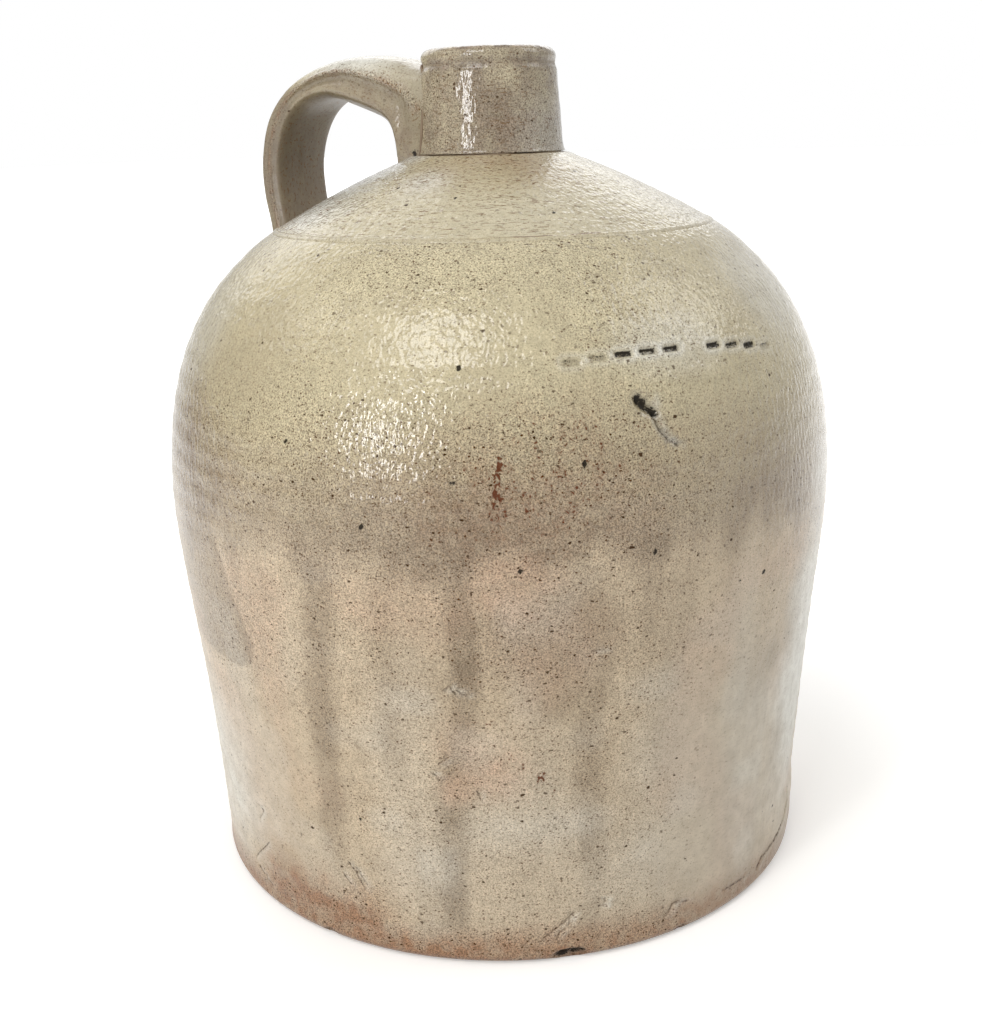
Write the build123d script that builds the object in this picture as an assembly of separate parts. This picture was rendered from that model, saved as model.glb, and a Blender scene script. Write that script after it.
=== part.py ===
from build123d import *
import math
import os

# A two-gallon stoneware jug, thrown in three lumps that are luted together with slip, with a pulled
# strap handle and a brown slip glaze inside.
# Millimetres. The origin is the centre of the foot, Z is up, and the handle lies towards -X.

# Thrown body
FOOT_RADIUS = 113.0  # outside, just above the rounded foot edge
FOOT_EDGE = 4.0  # rounding under the foot
WALL_LEAN = 2.0  # degrees that the wall leans outwards above the foot
BELLY_SWELL = 9.5  # how far the belly stands out past the foot
BELLY_HEIGHT = 141.5
SHOULDER_RISE = 92.5  # from the belly up to the shoulder seam
SEAM_RADIUS = 79.0
WALL = 8.5
FLOOR = 12.0
FLOOR_CORNER = 18.0  # rounding inside, where the floor turns up into the wall

# Shoulder cap
CAP_RISE = 25.4  # from the shoulder seam up to the neck's seat
CAP_CROWN = 5.0  # degrees that each end of the cap's curve turns from its chord
SEAT_LEDGE = 1.6  # flat left on the cap outside the neck's foot

# Neck collar
NECK_HEIGHT = 34.8  # from the cap's seat to the rim
BORE_RADIUS = 14.6  # in the clay, before the lining
NECK_WALL = 8.8  # at the rim
NECK_TAPER = 2.9  # how much wider the neck's foot is than its top
LIP_ROUND = 3.5
MOUTH_ROUND = 3.0

# Slip: the joints and the lining
SLIP = 1.0  # thickness of a luted joint
BEAD = 0.6  # how far the squeezed-out slip stands proud
LINING = 0.6

# Strap handle
HANDLE_WIDTH = 30.0
CREST_DROP = 0.4  # of the crest below the rim
CREST_THICKNESS = 13.8
LEG_THICKNESS = 9.1  # where the strap turns straight down
ROOT_THICKNESS = 24.0  # inside the neck
ROOT_DROP = 6.8  # of the strap's top inside the neck, below the crest
LEG_DROP = 42.5  # of the outermost point below the rim
FOOT_OFFSET = 11.2  # of the strap's lower end down the shoulder, from the seam
LEG_BULGE = 8.2  # how far the leg stands out past the strap's lower end
OUTER_SWEEP = 47.9  # along the reach, from the outer crest to the leg
INNER_SWEEP = 23.1  # along the reach, from the inner crest to the leg
OUTER_ROUND = 3.2  # along the strap's outer edges
INNER_ROUND = 1.5  # along the strap's inner edges
ROOT_CLIMB = 14.0  # degrees that the strap's top climbs out of the neck
ROOT_FLARE = 20.0  # degrees that its underside climbs
FOOT_TUCK = 25.0  # degrees that the leg tucks in at its lower end

# Wads of clay at the handle's two ends
UPPER_WAD_REACH = 5.4  # out from the neck's foot, at its waist
UPPER_WAD_SPREAD = 20.5  # out from the neck's foot, under the strap
UPPER_WAD_DIP = 2.2  # of its top below the strap's inner crest
UPPER_WAD_ROUND = 2.0
LOWER_WAD_RISE = 3.6  # thickness over the shoulder
LOWER_WAD_MARGIN = 4.0  # past the strap's sides
LOWER_WAD_TAIL = 9.0  # past the strap's outer face, down the shoulder
LOWER_WAD_LEAD = 2.8  # past the strap's inner face, towards the seam
LOWER_WAD_CORNER = 8.0
LOWER_WAD_ROUND = 1.6

# Heights and radii that follow
BELLY_RADIUS = FOOT_RADIUS + BELLY_SWELL
SEAM_HEIGHT = BELLY_HEIGHT + SHOULDER_RISE
SEAT_HEIGHT = SEAM_HEIGHT + CAP_RISE
RIM_HEIGHT = SEAT_HEIGHT + NECK_HEIGHT
NECK_TOP_RADIUS = BORE_RADIUS + NECK_WALL
NECK_FOOT_RADIUS = NECK_TOP_RADIUS + NECK_TAPER
SEAT_RADIUS = NECK_FOOT_RADIUS + SEAT_LEDGE
HEEL_HEIGHT = FLOOR + FLOOR_CORNER
HEEL_RADIUS = FOOT_RADIUS + (HEEL_HEIGHT - FOOT_EDGE) * math.tan(math.radians(WALL_LEAN))

# Pulls of the curves at their two ends, as shares of the chord
WALL_PULLS = (0.58, 0.17)
SHOULDER_PULLS = (0.43, 0.35)
EVEN_PULLS = (1 / 3, 1 / 3)
QUARTER_PULLS = (0.39, 0.39)
STRAP_PULLS = (0.42, 0.42)
WAD_PULLS = (0.45, 0.40)

TOUCH = 0.01  # closer than this, two things are in one place


class Place:
    """A place on an outline: its point, the way the outline runs there, and the way out of the clay."""

    def __init__(self, point, turn):
        """turn is how many degrees the outline has turned from straight up, towards the axis."""
        angle = math.radians(turn)
        self.point = point
        self.turn = turn
        self.run = Vector(-math.sin(angle), 0, math.cos(angle))
        self.out = Vector(math.cos(angle), 0, math.sin(angle))

    def inset(self, depth):
        """The same place on an outline that lies this deep in the clay."""
        return Place(self.point - self.out * depth, self.turn)

    def along(self, distance):
        """The place this far on in a straight line."""
        return Place(self.point + self.run * distance, self.turn)


def at(radius, height):
    """A point of a turned outline: its distance from the axis, and its height."""
    return Vector(radius, 0, height)


def bend(start, end, pulls):
    """A smooth curve that leaves one place and arrives at another the way they run."""
    chord = (end.point - start.point).length
    leave = start.point + start.run * (pulls[0] * chord)
    arrive = end.point - end.run * (pulls[1] * chord)
    return Bezier(start.point, leave, arrive, end.point)


def turned(edges):
    """A closed outline beside the axis, turned on the wheel."""
    return revolve(make_face(edges), Axis.Z)


# Places on the outside, from the foot up
cap_chord = math.degrees(math.atan2(CAP_RISE, SEAM_RADIUS - SEAT_RADIUS))
FOOT_PLACE = Place(at(FOOT_RADIUS, FOOT_EDGE), -WALL_LEAN)
BELLY_PLACE = Place(at(BELLY_RADIUS, BELLY_HEIGHT), 0)
SEAM_PLACE = Place(at(SEAM_RADIUS, SEAM_HEIGHT), 90 - cap_chord - CAP_CROWN)
CAP_PLACE = SEAM_PLACE.along(SLIP)
SEAT_PLACE = Place(at(SEAT_RADIUS, SEAT_HEIGHT), 90 - cap_chord + CAP_CROWN)

# Places on the inside, from the floor up
HEEL_INSIDE = Place(at(HEEL_RADIUS, HEEL_HEIGHT), -WALL_LEAN).inset(WALL)
FLOOR_INSIDE = Place(at(HEEL_INSIDE.point.X - FLOOR_CORNER, FLOOR), -90)
BELLY_INSIDE = BELLY_PLACE.inset(WALL)
SEAM_INSIDE = SEAM_PLACE.inset(WALL)
CAP_INSIDE = CAP_PLACE.inset(WALL)
THROAT_INSIDE = Place(at(BORE_RADIUS, SEAT_HEIGHT - WALL), SEAT_PLACE.turn)
BORE_TOP = RIM_HEIGHT - MOUTH_ROUND

# Places along the handle, whose reach is the distance from the axis, towards -X
CREST_HEIGHT = RIM_HEIGHT - CREST_DROP
ROOT_REACH = BORE_RADIUS / 2
FOOT_REACH = SEAM_PLACE.along(-FOOT_OFFSET).point.X
LEG_REACH = FOOT_REACH + LEG_BULGE
FOOT_DEPTH = WALL + SLIP  # how far the strap's lower end runs into the shoulder before it is trimmed


def throat(depth):
    """The throat's corner, on an outline this deep in the hollow: the cap's slope meets the bore."""
    angle = math.radians(90 - THROAT_INSIDE.turn)
    drop = depth * (1 / math.cos(angle) - math.tan(angle))
    return Place(at(BORE_RADIUS - depth, THROAT_INSIDE.point.Z - drop), THROAT_INSIDE.turn)


def inner_body_edges(depth):
    """The hollow's outline from the floor's centre to the shoulder seam, this deep in the hollow."""
    floor = FLOOR_INSIDE.inset(depth)
    heel = HEEL_INSIDE.inset(depth)
    belly = BELLY_INSIDE.inset(depth)
    seam = SEAM_INSIDE.inset(depth)
    return [
        Line(at(0, FLOOR + depth), floor.point),
        bend(floor, heel, QUARTER_PULLS),
        bend(heel, belly, WALL_PULLS),
        bend(belly, seam, SHOULDER_PULLS),
    ]


def inner_cap_edge(depth):
    """The hollow's outline from the shoulder seam to the throat, this deep in the hollow."""
    return bend(CAP_INSIDE.inset(depth), throat(depth), EVEN_PULLS)


def thrown_body():
    """Floor, wall and lower shoulder, thrown as one lump."""
    edge_middle = FOOT_EDGE * (1 - math.sqrt(0.5))
    foot_flat = at(FOOT_RADIUS - FOOT_EDGE, 0)
    return turned(
        [
            Line(at(0, 0), foot_flat),
            ThreePointArc(foot_flat, at(FOOT_RADIUS - edge_middle, edge_middle), FOOT_PLACE.point),
            bend(FOOT_PLACE, BELLY_PLACE, WALL_PULLS),
            bend(BELLY_PLACE, SEAM_PLACE, SHOULDER_PULLS),
            Line(SEAM_PLACE.point, SEAM_INSIDE.point),
            *inner_body_edges(0),
            Line(at(0, FLOOR), at(0, 0)),
        ]
    )


def shoulder_seam_slip():
    """The ring of slip between body and cap, with the bead that was squeezed out of the joint."""
    low = SEAM_PLACE.inset(-BEAD / 2).point
    high = CAP_PLACE.inset(-BEAD / 2).point
    nose = SEAM_PLACE.along(SLIP / 2).inset(-BEAD).point
    return turned(
        [
            Line(SEAM_INSIDE.point, low),
            ThreePointArc(low, nose, high),
            Line(high, CAP_INSIDE.point),
            Line(CAP_INSIDE.point, SEAM_INSIDE.point),
        ]
    )


def shoulder_cap():
    """The upper shoulder, thrown on its own, with the neck's seat on top."""
    bore_top = at(BORE_RADIUS, SEAT_HEIGHT)
    return turned(
        [
            bend(CAP_PLACE, SEAT_PLACE, EVEN_PULLS),
            Line(SEAT_PLACE.point, bore_top),
            Line(bore_top, THROAT_INSIDE.point),
            inner_cap_edge(0),
            Line(CAP_INSIDE.point, CAP_PLACE.point),
        ]
    )


def neck_seam_slip():
    """The ring of slip under the neck collar, with its bead."""
    low = at(NECK_FOOT_RADIUS + BEAD / 2, SEAT_HEIGHT)
    high = at(NECK_FOOT_RADIUS + BEAD / 2, SEAT_HEIGHT + SLIP)
    nose = at(NECK_FOOT_RADIUS + BEAD, SEAT_HEIGHT + SLIP / 2)
    bore_low = at(BORE_RADIUS, SEAT_HEIGHT)
    bore_high = at(BORE_RADIUS, SEAT_HEIGHT + SLIP)
    return turned(
        [
            Line(bore_low, low),
            ThreePointArc(low, nose, high),
            Line(high, bore_high),
            Line(bore_high, bore_low),
        ]
    )


def neck_radius(height):
    """The neck's outside: a cone from the cap's seat up to the lip."""
    share = (height - SEAT_HEIGHT) / (NECK_HEIGHT - LIP_ROUND)
    return NECK_FOOT_RADIUS - NECK_TAPER * share


def neck_collar():
    """The tapered neck with its rounded lip."""
    foot_inner = at(BORE_RADIUS, SEAT_HEIGHT + SLIP)
    foot_outer = at(neck_radius(SEAT_HEIGHT + SLIP), SEAT_HEIGHT + SLIP)
    lip_low = at(NECK_TOP_RADIUS, RIM_HEIGHT - LIP_ROUND)
    lip_top = at(NECK_TOP_RADIUS - LIP_ROUND, RIM_HEIGHT)
    lip_back = LIP_ROUND * (1 - math.sqrt(0.5))
    mouth_top = at(BORE_RADIUS + MOUTH_ROUND, RIM_HEIGHT)
    mouth_low = at(BORE_RADIUS, BORE_TOP)
    mouth_back = MOUTH_ROUND * (1 - math.sqrt(0.5))
    return turned(
        [
            Line(foot_inner, foot_outer),
            Line(foot_outer, lip_low),
            ThreePointArc(lip_low, at(NECK_TOP_RADIUS - lip_back, RIM_HEIGHT - lip_back), lip_top),
            Line(lip_top, mouth_top),
            ThreePointArc(mouth_top, at(BORE_RADIUS + mouth_back, RIM_HEIGHT - mouth_back), mouth_low),
            Line(mouth_low, foot_inner),
        ]
    )


def inner_slip_lining():
    """The brown slip glaze: one coat over the floor, the wall, the cap's underside and the bore."""
    inner_top = at(BORE_RADIUS - LINING, BORE_TOP)
    outer_top = at(BORE_RADIUS, BORE_TOP)
    return turned(
        [
            *inner_body_edges(0),
            Line(SEAM_INSIDE.point, CAP_INSIDE.point),
            inner_cap_edge(0),
            Line(THROAT_INSIDE.point, outer_top),
            Line(outer_top, inner_top),
            Line(inner_top, throat(LINING).point),
            inner_cap_edge(LINING),
            Line(CAP_INSIDE.inset(LINING).point, SEAM_INSIDE.inset(LINING).point),
            *inner_body_edges(LINING),
            Line(at(0, FLOOR + LINING), at(0, FLOOR)),
        ]
    )


def envelope(extra):
    """The whole outside of body, cap and neck as one solid, this much larger, for trimming the handle."""
    foot = FOOT_PLACE.inset(-extra)
    belly = BELLY_PLACE.inset(-extra)
    seam = SEAM_PLACE.inset(-extra)
    cap = CAP_PLACE.inset(-extra)
    seat = SEAT_PLACE.inset(-extra)
    neck_foot = at(neck_radius(seat.point.Z) + extra, seat.point.Z)
    neck_top = at(NECK_TOP_RADIUS + extra, RIM_HEIGHT - LIP_ROUND)
    rim = at(NECK_TOP_RADIUS + extra, RIM_HEIGHT + extra)
    return turned(
        [
            Line(at(0, FOOT_EDGE), foot.point),
            bend(foot, belly, WALL_PULLS),
            bend(belly, seam, SHOULDER_PULLS),
            Line(seam.point, cap.point),
            bend(cap, seat, EVEN_PULLS),
            Line(seat.point, neck_foot),
            Line(neck_foot, neck_top),
            Line(neck_top, rim),
            Line(rim, at(0, rim.Z)),
            Line(at(0, rim.Z), at(0, FOOT_EDGE)),
        ]
    )


def handle_place(reach, height, heading):
    """A place along the handle. heading is the way it runs: 0 is outwards, 90 is straight down."""
    return Place(Vector(-reach, 0, height), 90 + heading)


def foot_place(offset):
    """A place for the strap's lower end, this far down the shoulder from the seam, inside the clay."""
    point = SEAM_PLACE.along(-offset).inset(FOOT_DEPTH).point
    return handle_place(point.X, point.Z, 90 + FOOT_TUCK)


def strap_lines():
    """The strap's outer and inner line, each from inside the neck over the crest into the shoulder."""
    leg_height = RIM_HEIGHT - LEG_DROP
    root_height = CREST_HEIGHT - ROOT_DROP
    inner_leg = LEG_REACH - LEG_THICKNESS
    outer = (
        handle_place(ROOT_REACH, root_height, -ROOT_CLIMB),
        handle_place(LEG_REACH - OUTER_SWEEP, CREST_HEIGHT, 0),
        handle_place(LEG_REACH, leg_height, 90),
        foot_place(FOOT_OFFSET + LEG_THICKNESS / 2),
    )
    inner = (
        handle_place(ROOT_REACH, root_height - ROOT_THICKNESS, -ROOT_FLARE),
        handle_place(inner_leg - INNER_SWEEP, CREST_HEIGHT - CREST_THICKNESS, 0),
        handle_place(inner_leg, leg_height, 90),
        foot_place(FOOT_OFFSET - LEG_THICKNESS / 2),
    )
    pulls = (EVEN_PULLS, STRAP_PULLS, EVEN_PULLS)
    return [[bend(line[i], line[i + 1], pulls[i]) for i in range(3)] for line in (outer, inner)]


def side_edges(solid, line, width):
    """The edges on the two flat sides of a solid of this width that follow a line in its middle plane."""
    found = []
    for edge in solid.edges():
        middle = edge @ 0.5
        on_side = abs(abs(middle.Y) - width / 2) < TOUCH
        if on_side and line.distance_to(Vector(middle.X, 0, middle.Z)) < TOUCH:
            found.append(edge)
    return found


def pulled_strap():
    """The strap before its ends are trimmed: its side outline as wide as the strap, with rounded edges."""
    outer, inner = strap_lines()
    root = Line(outer[0] @ 0, inner[0] @ 0)
    foot = Line(outer[-1] @ 1, inner[-1] @ 1)
    strap = extrude(make_face([*outer, *inner, root, foot]), HANDLE_WIDTH / 2, (0, 1, 0), both=True)
    strap = fillet(side_edges(strap, Curve(outer), HANDLE_WIDTH), OUTER_ROUND)
    return fillet(side_edges(strap, Curve(inner), HANDLE_WIDTH), INNER_ROUND)


def pressed_wad():
    """The upper wad before it is trimmed: it hollows from under the strap down the neck to the cap."""
    width = HANDLE_WIDTH - 2 * INNER_ROUND
    under_height = CREST_HEIGHT - CREST_THICKNESS - UPPER_WAD_DIP
    cap_height = SEAT_HEIGHT - WALL
    waist = NECK_FOOT_RADIUS + UPPER_WAD_REACH
    under = handle_place(NECK_FOOT_RADIUS + UPPER_WAD_SPREAD, under_height, 180 - ROOT_FLARE)
    low = handle_place(waist, cap_height, 90)
    front = bend(under, low, WAD_PULLS)
    root_low = Vector(-ROOT_REACH, 0, cap_height)
    root_high = Vector(-ROOT_REACH, 0, under_height)
    outline = [
        front,
        Line(low.point, root_low),
        Line(root_low, root_high),
        Line(root_high, under.point),
    ]
    wad = extrude(make_face(outline), width / 2, (0, 1, 0), both=True)
    return fillet(side_edges(wad, front, width), UPPER_WAD_ROUND)


def thumbed_wad():
    """The lower wad before the strap is cut out of it: a rounded pad that lies on the shoulder."""
    length = LOWER_WAD_LEAD + LEG_THICKNESS + LOWER_WAD_TAIL
    width = HANDLE_WIDTH + 2 * LOWER_WAD_MARGIN
    middle = FOOT_REACH + (LOWER_WAD_TAIL - LOWER_WAD_LEAD) / 2
    print_on_shoulder = Pos(-middle, 0, BELLY_HEIGHT) * RectangleRounded(length, width, LOWER_WAD_CORNER)
    column = extrude(print_on_shoulder, SHOULDER_RISE)
    pad = column & envelope(SLIP + LOWER_WAD_RISE)
    top = pad.faces().sort_by(Axis.Z)[-1]
    return fillet(top.edges(), LOWER_WAD_ROUND)


def single(shape):
    """The one solid of a shape that was cut."""
    return shape.solids().sort_by(SortBy.VOLUME)[-1]


def handle_pieces():
    """The strap, its two wads and the two beds of slip, trimmed to the jug and to each other."""
    clay = envelope(0)
    bedded = envelope(SLIP)
    bed = bedded - clay
    strap = pulled_strap()
    upper_wad = pressed_wad()
    lower_wad = thumbed_wad()
    upper_beds = ((strap + upper_wad) & bed) - neck_seam_slip()
    lower_beds = (strap + lower_wad) & bed
    return {
        "strap_handle": single(strap - bedded),
        "handle_upper_wad": single(upper_wad - strap - bedded),
        "handle_lower_wad": single(lower_wad - strap - bedded),
        "handle_upper_slip": upper_beds.solids().sort_by(Axis.X)[-1],
        "handle_lower_slip": lower_beds.solids().sort_by(Axis.X)[0],
    }


pieces = {
    "thrown_body": thrown_body(),
    "shoulder_seam_slip": shoulder_seam_slip(),
    "shoulder_cap": shoulder_cap(),
    "neck_seam_slip": neck_seam_slip(),
    "neck_collar": neck_collar(),
    "inner_slip_lining": inner_slip_lining(),
    **handle_pieces(),
}

os.makedirs("parts", exist_ok=True)
for name, piece in pieces.items():
    piece.label = name
    export_step(piece, f"parts/{name}.step")
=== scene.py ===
"""Dresses a packed stoneware jug: thrown skins, salt glaze, a pulled handle and a studio."""
import math
from functools import partial

import bpy
import numpy as np
from bpy.props import FloatProperty, FloatVectorProperty, PointerProperty
from mathutils import Matrix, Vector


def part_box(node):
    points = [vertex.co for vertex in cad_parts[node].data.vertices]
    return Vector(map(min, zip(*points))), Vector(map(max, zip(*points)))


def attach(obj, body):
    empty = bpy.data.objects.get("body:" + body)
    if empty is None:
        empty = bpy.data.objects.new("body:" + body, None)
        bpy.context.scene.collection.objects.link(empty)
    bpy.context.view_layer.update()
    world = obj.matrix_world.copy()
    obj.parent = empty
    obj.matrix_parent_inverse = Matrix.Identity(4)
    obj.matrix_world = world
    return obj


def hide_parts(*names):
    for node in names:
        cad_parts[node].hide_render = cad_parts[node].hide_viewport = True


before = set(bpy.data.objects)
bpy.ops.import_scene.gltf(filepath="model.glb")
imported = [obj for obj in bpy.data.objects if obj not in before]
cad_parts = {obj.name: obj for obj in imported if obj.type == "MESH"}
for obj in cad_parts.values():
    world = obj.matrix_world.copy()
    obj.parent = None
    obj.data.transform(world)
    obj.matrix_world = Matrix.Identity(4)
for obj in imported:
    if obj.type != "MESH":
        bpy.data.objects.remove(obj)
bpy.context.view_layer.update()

bl_info = {
    "name": "Stoneware Jug",
    "version": (1, 0, 0),
    "blender": (4, 5, 0),
    "location": "View3D > Sidebar > Jug",
    "description": "Builds the skins, glazes and studio of a salt-glazed stoneware jug on its CAD frame",
    "category": "Object",
}

MM = 0.001  # lengths below are in millimetres, and meshes are in metres


def node_reach(node):
    """The highest corner of a CAD node, in millimetres."""
    return [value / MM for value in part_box(node)[1]]


# The turned outline, as the frame has it
FOOT_RADIUS = 113.0
FOOT_EDGE = 4.0
FOOT_TURN = -2.0
BELLY_RADIUS = node_reach("thrown_body")[0]
BELLY_HEIGHT = 141.5
SEAM_RADIUS = 79.0
SEAM_HEIGHT = node_reach("thrown_body")[2]
SEAT_RADIUS = 27.9
SEAT_HEIGHT = node_reach("shoulder_cap")[2] - 0.9  # the slip's bed shows less than it is thick
RIM_HEIGHT = node_reach("neck_collar")[2]
NECK_FOOT_RADIUS = 26.2
NECK_TOP_RADIUS = 24.0
BORE_RADIUS = 14.6
LIP_ROUND = 3.5
MOUTH_ROUND = 3.0
WALL = 8.5
FLOOR = 12.0
HEEL_ROUND = 18.0  # how far the floor rises into the wall inside
SLIP = 1.0
CAP_CROWN = 5.0
CAP_SLOPE = math.degrees(math.atan2(SEAT_HEIGHT - SEAM_HEIGHT, SEAM_RADIUS - SEAT_RADIUS))
SEAM_TURN = 90 - CAP_SLOPE - CAP_CROWN
SEAT_TURN = 90 - CAP_SLOPE + CAP_CROWN
WALL_PULLS = (0.58, 0.17)
SHOULDER_PULLS = (0.43, 0.35)
HEEL_PULLS = (0.39, 0.39)
EVEN_PULLS = (1 / 3, 1 / 3)

# Small forms on the outline
GROOVE_HEIGHT = RIM_HEIGHT - 5.6  # the groove under the lip
GROOVE_WIDTH = 1.5
FOOT_FLARE = 0.8  # how far the neck flares at its foot, and the height over which this fades
FLARE_FADE = 1.3
RING_WIDTH = 1.4  # half the width of the ring on the seam, its rise, and how deep its middle is sunk
RING_RISE = 0.60
RING_SINK = 0.32
NECK_BEAD = (0.6, 0.5)  # half the width and half the height of the bead at the neck's foot
ROOT_BEAD = 0.55  # the radius of the bead at the strap's root

# How far apart the throwing rings lie
BODY_RINGS = 8.5
CAP_RINGS = 5.2
NECK_RINGS = 6.4

# The handle, as the frame has it
STRAP_WIDTH = 30.0
CREST_HEIGHT = node_reach("strap_handle")[2]
LEG_REACH = -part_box("strap_handle")[0][0] / MM
LEG_HEIGHT = RIM_HEIGHT - 42.5
LEG_THICKNESS = 10.0
CREST_THICKNESS = 14.4
STRAP_FOOT_OFFSET = 11.2
FLARE_REACH = 15.0  # how far from the axis the strap's sides have flared into the neck
ROOT_PIT = (-20.5, -18.7, SEAT_HEIGHT + 0.8)  # a black spot where the strap, the neck and the cap meet
STRAP_ROOT = ((-12.0, CREST_HEIGHT - 10.0), (-12.0, SEAT_HEIGHT - 5.0))  # the strap's end inside the neck
ROOT_CLEARANCE = 17.2  # no part of the strap comes nearer to the axis, so the bore stays open
STRAP_BENDS = (0.42, 0.42)
CORNER_PULLS = (0.14, 0.15)
OUTER_STEPS = (70, 80, 40)
INNER_STEPS = (26, 45, 80, 40)
STRAP_GIRTH = 78.0
WAD_REACH = (14.5, 21.0)  # half the lower wad's size, along the shoulder and across it
WAD_DROP = 3.1  # how far below the strap's foot the wad's middle lies
WAD_DOME = 5.2
WAD_DEPTH = 2.0  # how deep its underside lies in the shoulder

# Where the jug is looked at: bearings below are in degrees round the axis from here, to the right
FRONT_BEARING = 32.0


def colour(code):
    """A linear colour with alpha from an sRGB hex value."""
    parts = [int(code[i:i + 2], 16) / 255 for i in (0, 2, 4)]
    linear = [p / 12.92 if p <= 0.04045 else ((p + 0.055) / 1.055) ** 2.4 for p in parts]
    return (*linear, 1.0)


# What the properties of a kind share
DEPTH = {"min": 0.0, "unit": "LENGTH", "precision": 5}
TINT = {"min": 0.0, "max": 1.0, "subtype": "COLOR", "size": 4}
BRIGHTNESS = {"min": 0.0, "max": 50.0}


class JugRelief(bpy.types.PropertyGroup):
    """How strongly the skins are marked."""

    throwing_rings: FloatProperty(
        name="Throwing Rings", description="Height of the ridges that the fingers left on the wheel",
        default=0.15 * MM, max=1.0 * MM, **DEPTH)
    unevenness: FloatProperty(
        name="Unevenness", description="Depth of the broad hollows in the thrown wall",
        default=0.45 * MM, max=2.0 * MM, **DEPTH)
    gouge_depth: FloatProperty(
        name="Gouge Depth", description="Depth of the gouge on the shoulder",
        default=2.0 * MM, max=4.0 * MM, **DEPTH)
    dash_depth: FloatProperty(
        name="Dash Depth", description="Depth of the tooled dashes round the shoulder",
        default=0.8 * MM, max=2.0 * MM, **DEPTH)
    chip_depth: FloatProperty(
        name="Chip Depth", description="Depth of the chips along the foot",
        default=1.8 * MM, max=4.0 * MM, **DEPTH)
    lip_groove: FloatProperty(
        name="Lip Groove", description="Depth of the groove under the lip",
        default=0.75 * MM, max=2.0 * MM, **DEPTH)


class GlazeColours(bpy.types.PropertyGroup):
    """The colours of clay, glaze and slip."""

    cream: FloatVectorProperty(
        name="Cream Glaze", description="Glaze on the shoulder", default=colour("C2B695"), **TINT)
    beige: FloatVectorProperty(
        name="Beige Glaze", description="Thin glaze on the lower wall", default=colour("BBA98E"), **TINT)
    taupe: FloatVectorProperty(
        name="Taupe Glaze", description="Band and runs where the glaze is thick",
        default=colour("7F6E57"), **TINT)
    blush: FloatVectorProperty(
        name="Blush", description="Peach flashes of the flame", default=colour("BB9E84"), **TINT)
    # Ash is a pale bloom, and the same colour also paints sheen and highlights where light falls on the
    # shoulder, the cap, the strap's crest, the seam's ring and the rims of marks
    ash_and_sheen: FloatVectorProperty(
        name="Ash", description="Pale grey bloom", default=colour("D4D1C6"), **TINT)
    toast: FloatVectorProperty(
        name="Toast", description="Orange-brown bare clay along the foot", default=colour("8E6B4F"), **TINT)
    iron: FloatVectorProperty(
        name="Iron", description="Rust where iron bled through", default=colour("5A2A12"), **TINT)
    char: FloatVectorProperty(
        name="Char", description="Black in pits and burnt spots", default=colour("1C1712"), **TINT)
    pepper: FloatVectorProperty(
        name="Pepper", description="Larger specks of iron, and scratches", default=colour("3C2611"), **TINT)
    rust: FloatVectorProperty(
        name="Rust", description="Fine, lighter specks of iron", default=colour("4E2F15"), **TINT)
    sepia: FloatVectorProperty(
        name="Sepia", description="Fine marks of the wheel and the hand", default=colour("6E4F2B"), **TINT)
    slip: FloatVectorProperty(
        name="Fired Slip", description="Slip that was squeezed out of the joints",
        default=colour("6F5843"), **TINT)
    lining: FloatVectorProperty(
        name="Brown Slip Glaze", description="The lining", default=colour("4A2E1B"), **TINT)
    paper: FloatVectorProperty(
        name="Paper", description="The studio's floor", default=colour("F4F3F0"), **TINT)


class StudioSettings(bpy.types.PropertyGroup):
    """The camera and the lights."""

    lens: FloatProperty(
        name="Lens", description="Focal length on a 36 mm sensor", default=45.70, min=10.0, max=300.0)
    sky: FloatProperty(
        name="Sky", description="Strength of the even light from all round", default=0.45, min=0.0, max=2.0)
    window: FloatProperty(
        name="Window", description="Brightness of the window at the left", default=16.0, **BRIGHTNESS)
    overhead: FloatProperty(
        name="Overhead", description="Brightness of the panel above", default=6.0, **BRIGHTNESS)
    side: FloatProperty(
        name="Side", description="Brightness of the strips at the two sides", default=2.5, **BRIGHTNESS)
    back: FloatProperty(
        name="Back", description="Brightness of the panel behind", default=1.3, **BRIGHTNESS)


def smooth(low, high, value):
    """0 below low, 1 above high, and a smooth step in between; it falls where low is above high."""
    share = np.clip((value - low) / (high - low), 0.0, 1.0)
    return share * share * (3 - 2 * share)


def bell(distance, width):
    """1 at no distance, falling smoothly to about a third at this width."""
    return np.exp(-(distance / width) ** 2)


def lumps(points, size, seed):
    """Random lumps from -1 to 1: a random number on each corner of a lattice of cubes of this size,
    blended between the eight corners round a point with a smooth step."""
    cells = points / size + np.array([3.7, 11.3, 7.9]) * seed
    base = np.floor(cells)
    share = cells - base
    share = share * share * (3 - 2 * share)
    total = np.zeros(points.shape[:-1])
    for corner in np.ndindex(2, 2, 2):
        spread = np.sin((base + corner) @ np.array([12.9898, 78.233, 37.719])) * 43758.5453
        weight = np.prod(np.where(corner, share, 1 - share), axis=-1)
        total += weight * (2 * (spread - np.floor(spread)) - 1)
    return total


def unit(vectors):
    """Vectors scaled to a length of 1."""
    return vectors / np.linalg.norm(vectors, axis=-1, keepdims=True)


def travelled(path):
    """How far along a path each of its points lies."""
    return np.concatenate([[0.0], np.cumsum(np.linalg.norm(np.diff(path, axis=0), axis=1))])


def turned(bearing, radius, height):
    """Points in space from bearings in degrees, radii and heights."""
    angle = np.radians(bearing + FRONT_BEARING)
    return np.stack([radius * np.sin(angle), -radius * np.cos(angle), height], axis=-1)


def full_turn(count):
    """Evenly spaced angles once round, in radians."""
    return np.linspace(0, 2 * math.pi, count + 1)[:-1]


def rounded_square(turns, power):
    """The rise and the side, each from -1 to 1, of a square with rounded corners: at each angle, sine and
    cosine divided by their p-norm of this power."""
    size = (np.abs(np.sin(turns)) ** power + np.abs(np.cos(turns)) ** power) ** (1 / power)
    return np.sin(turns) / size, np.cos(turns) / size


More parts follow.
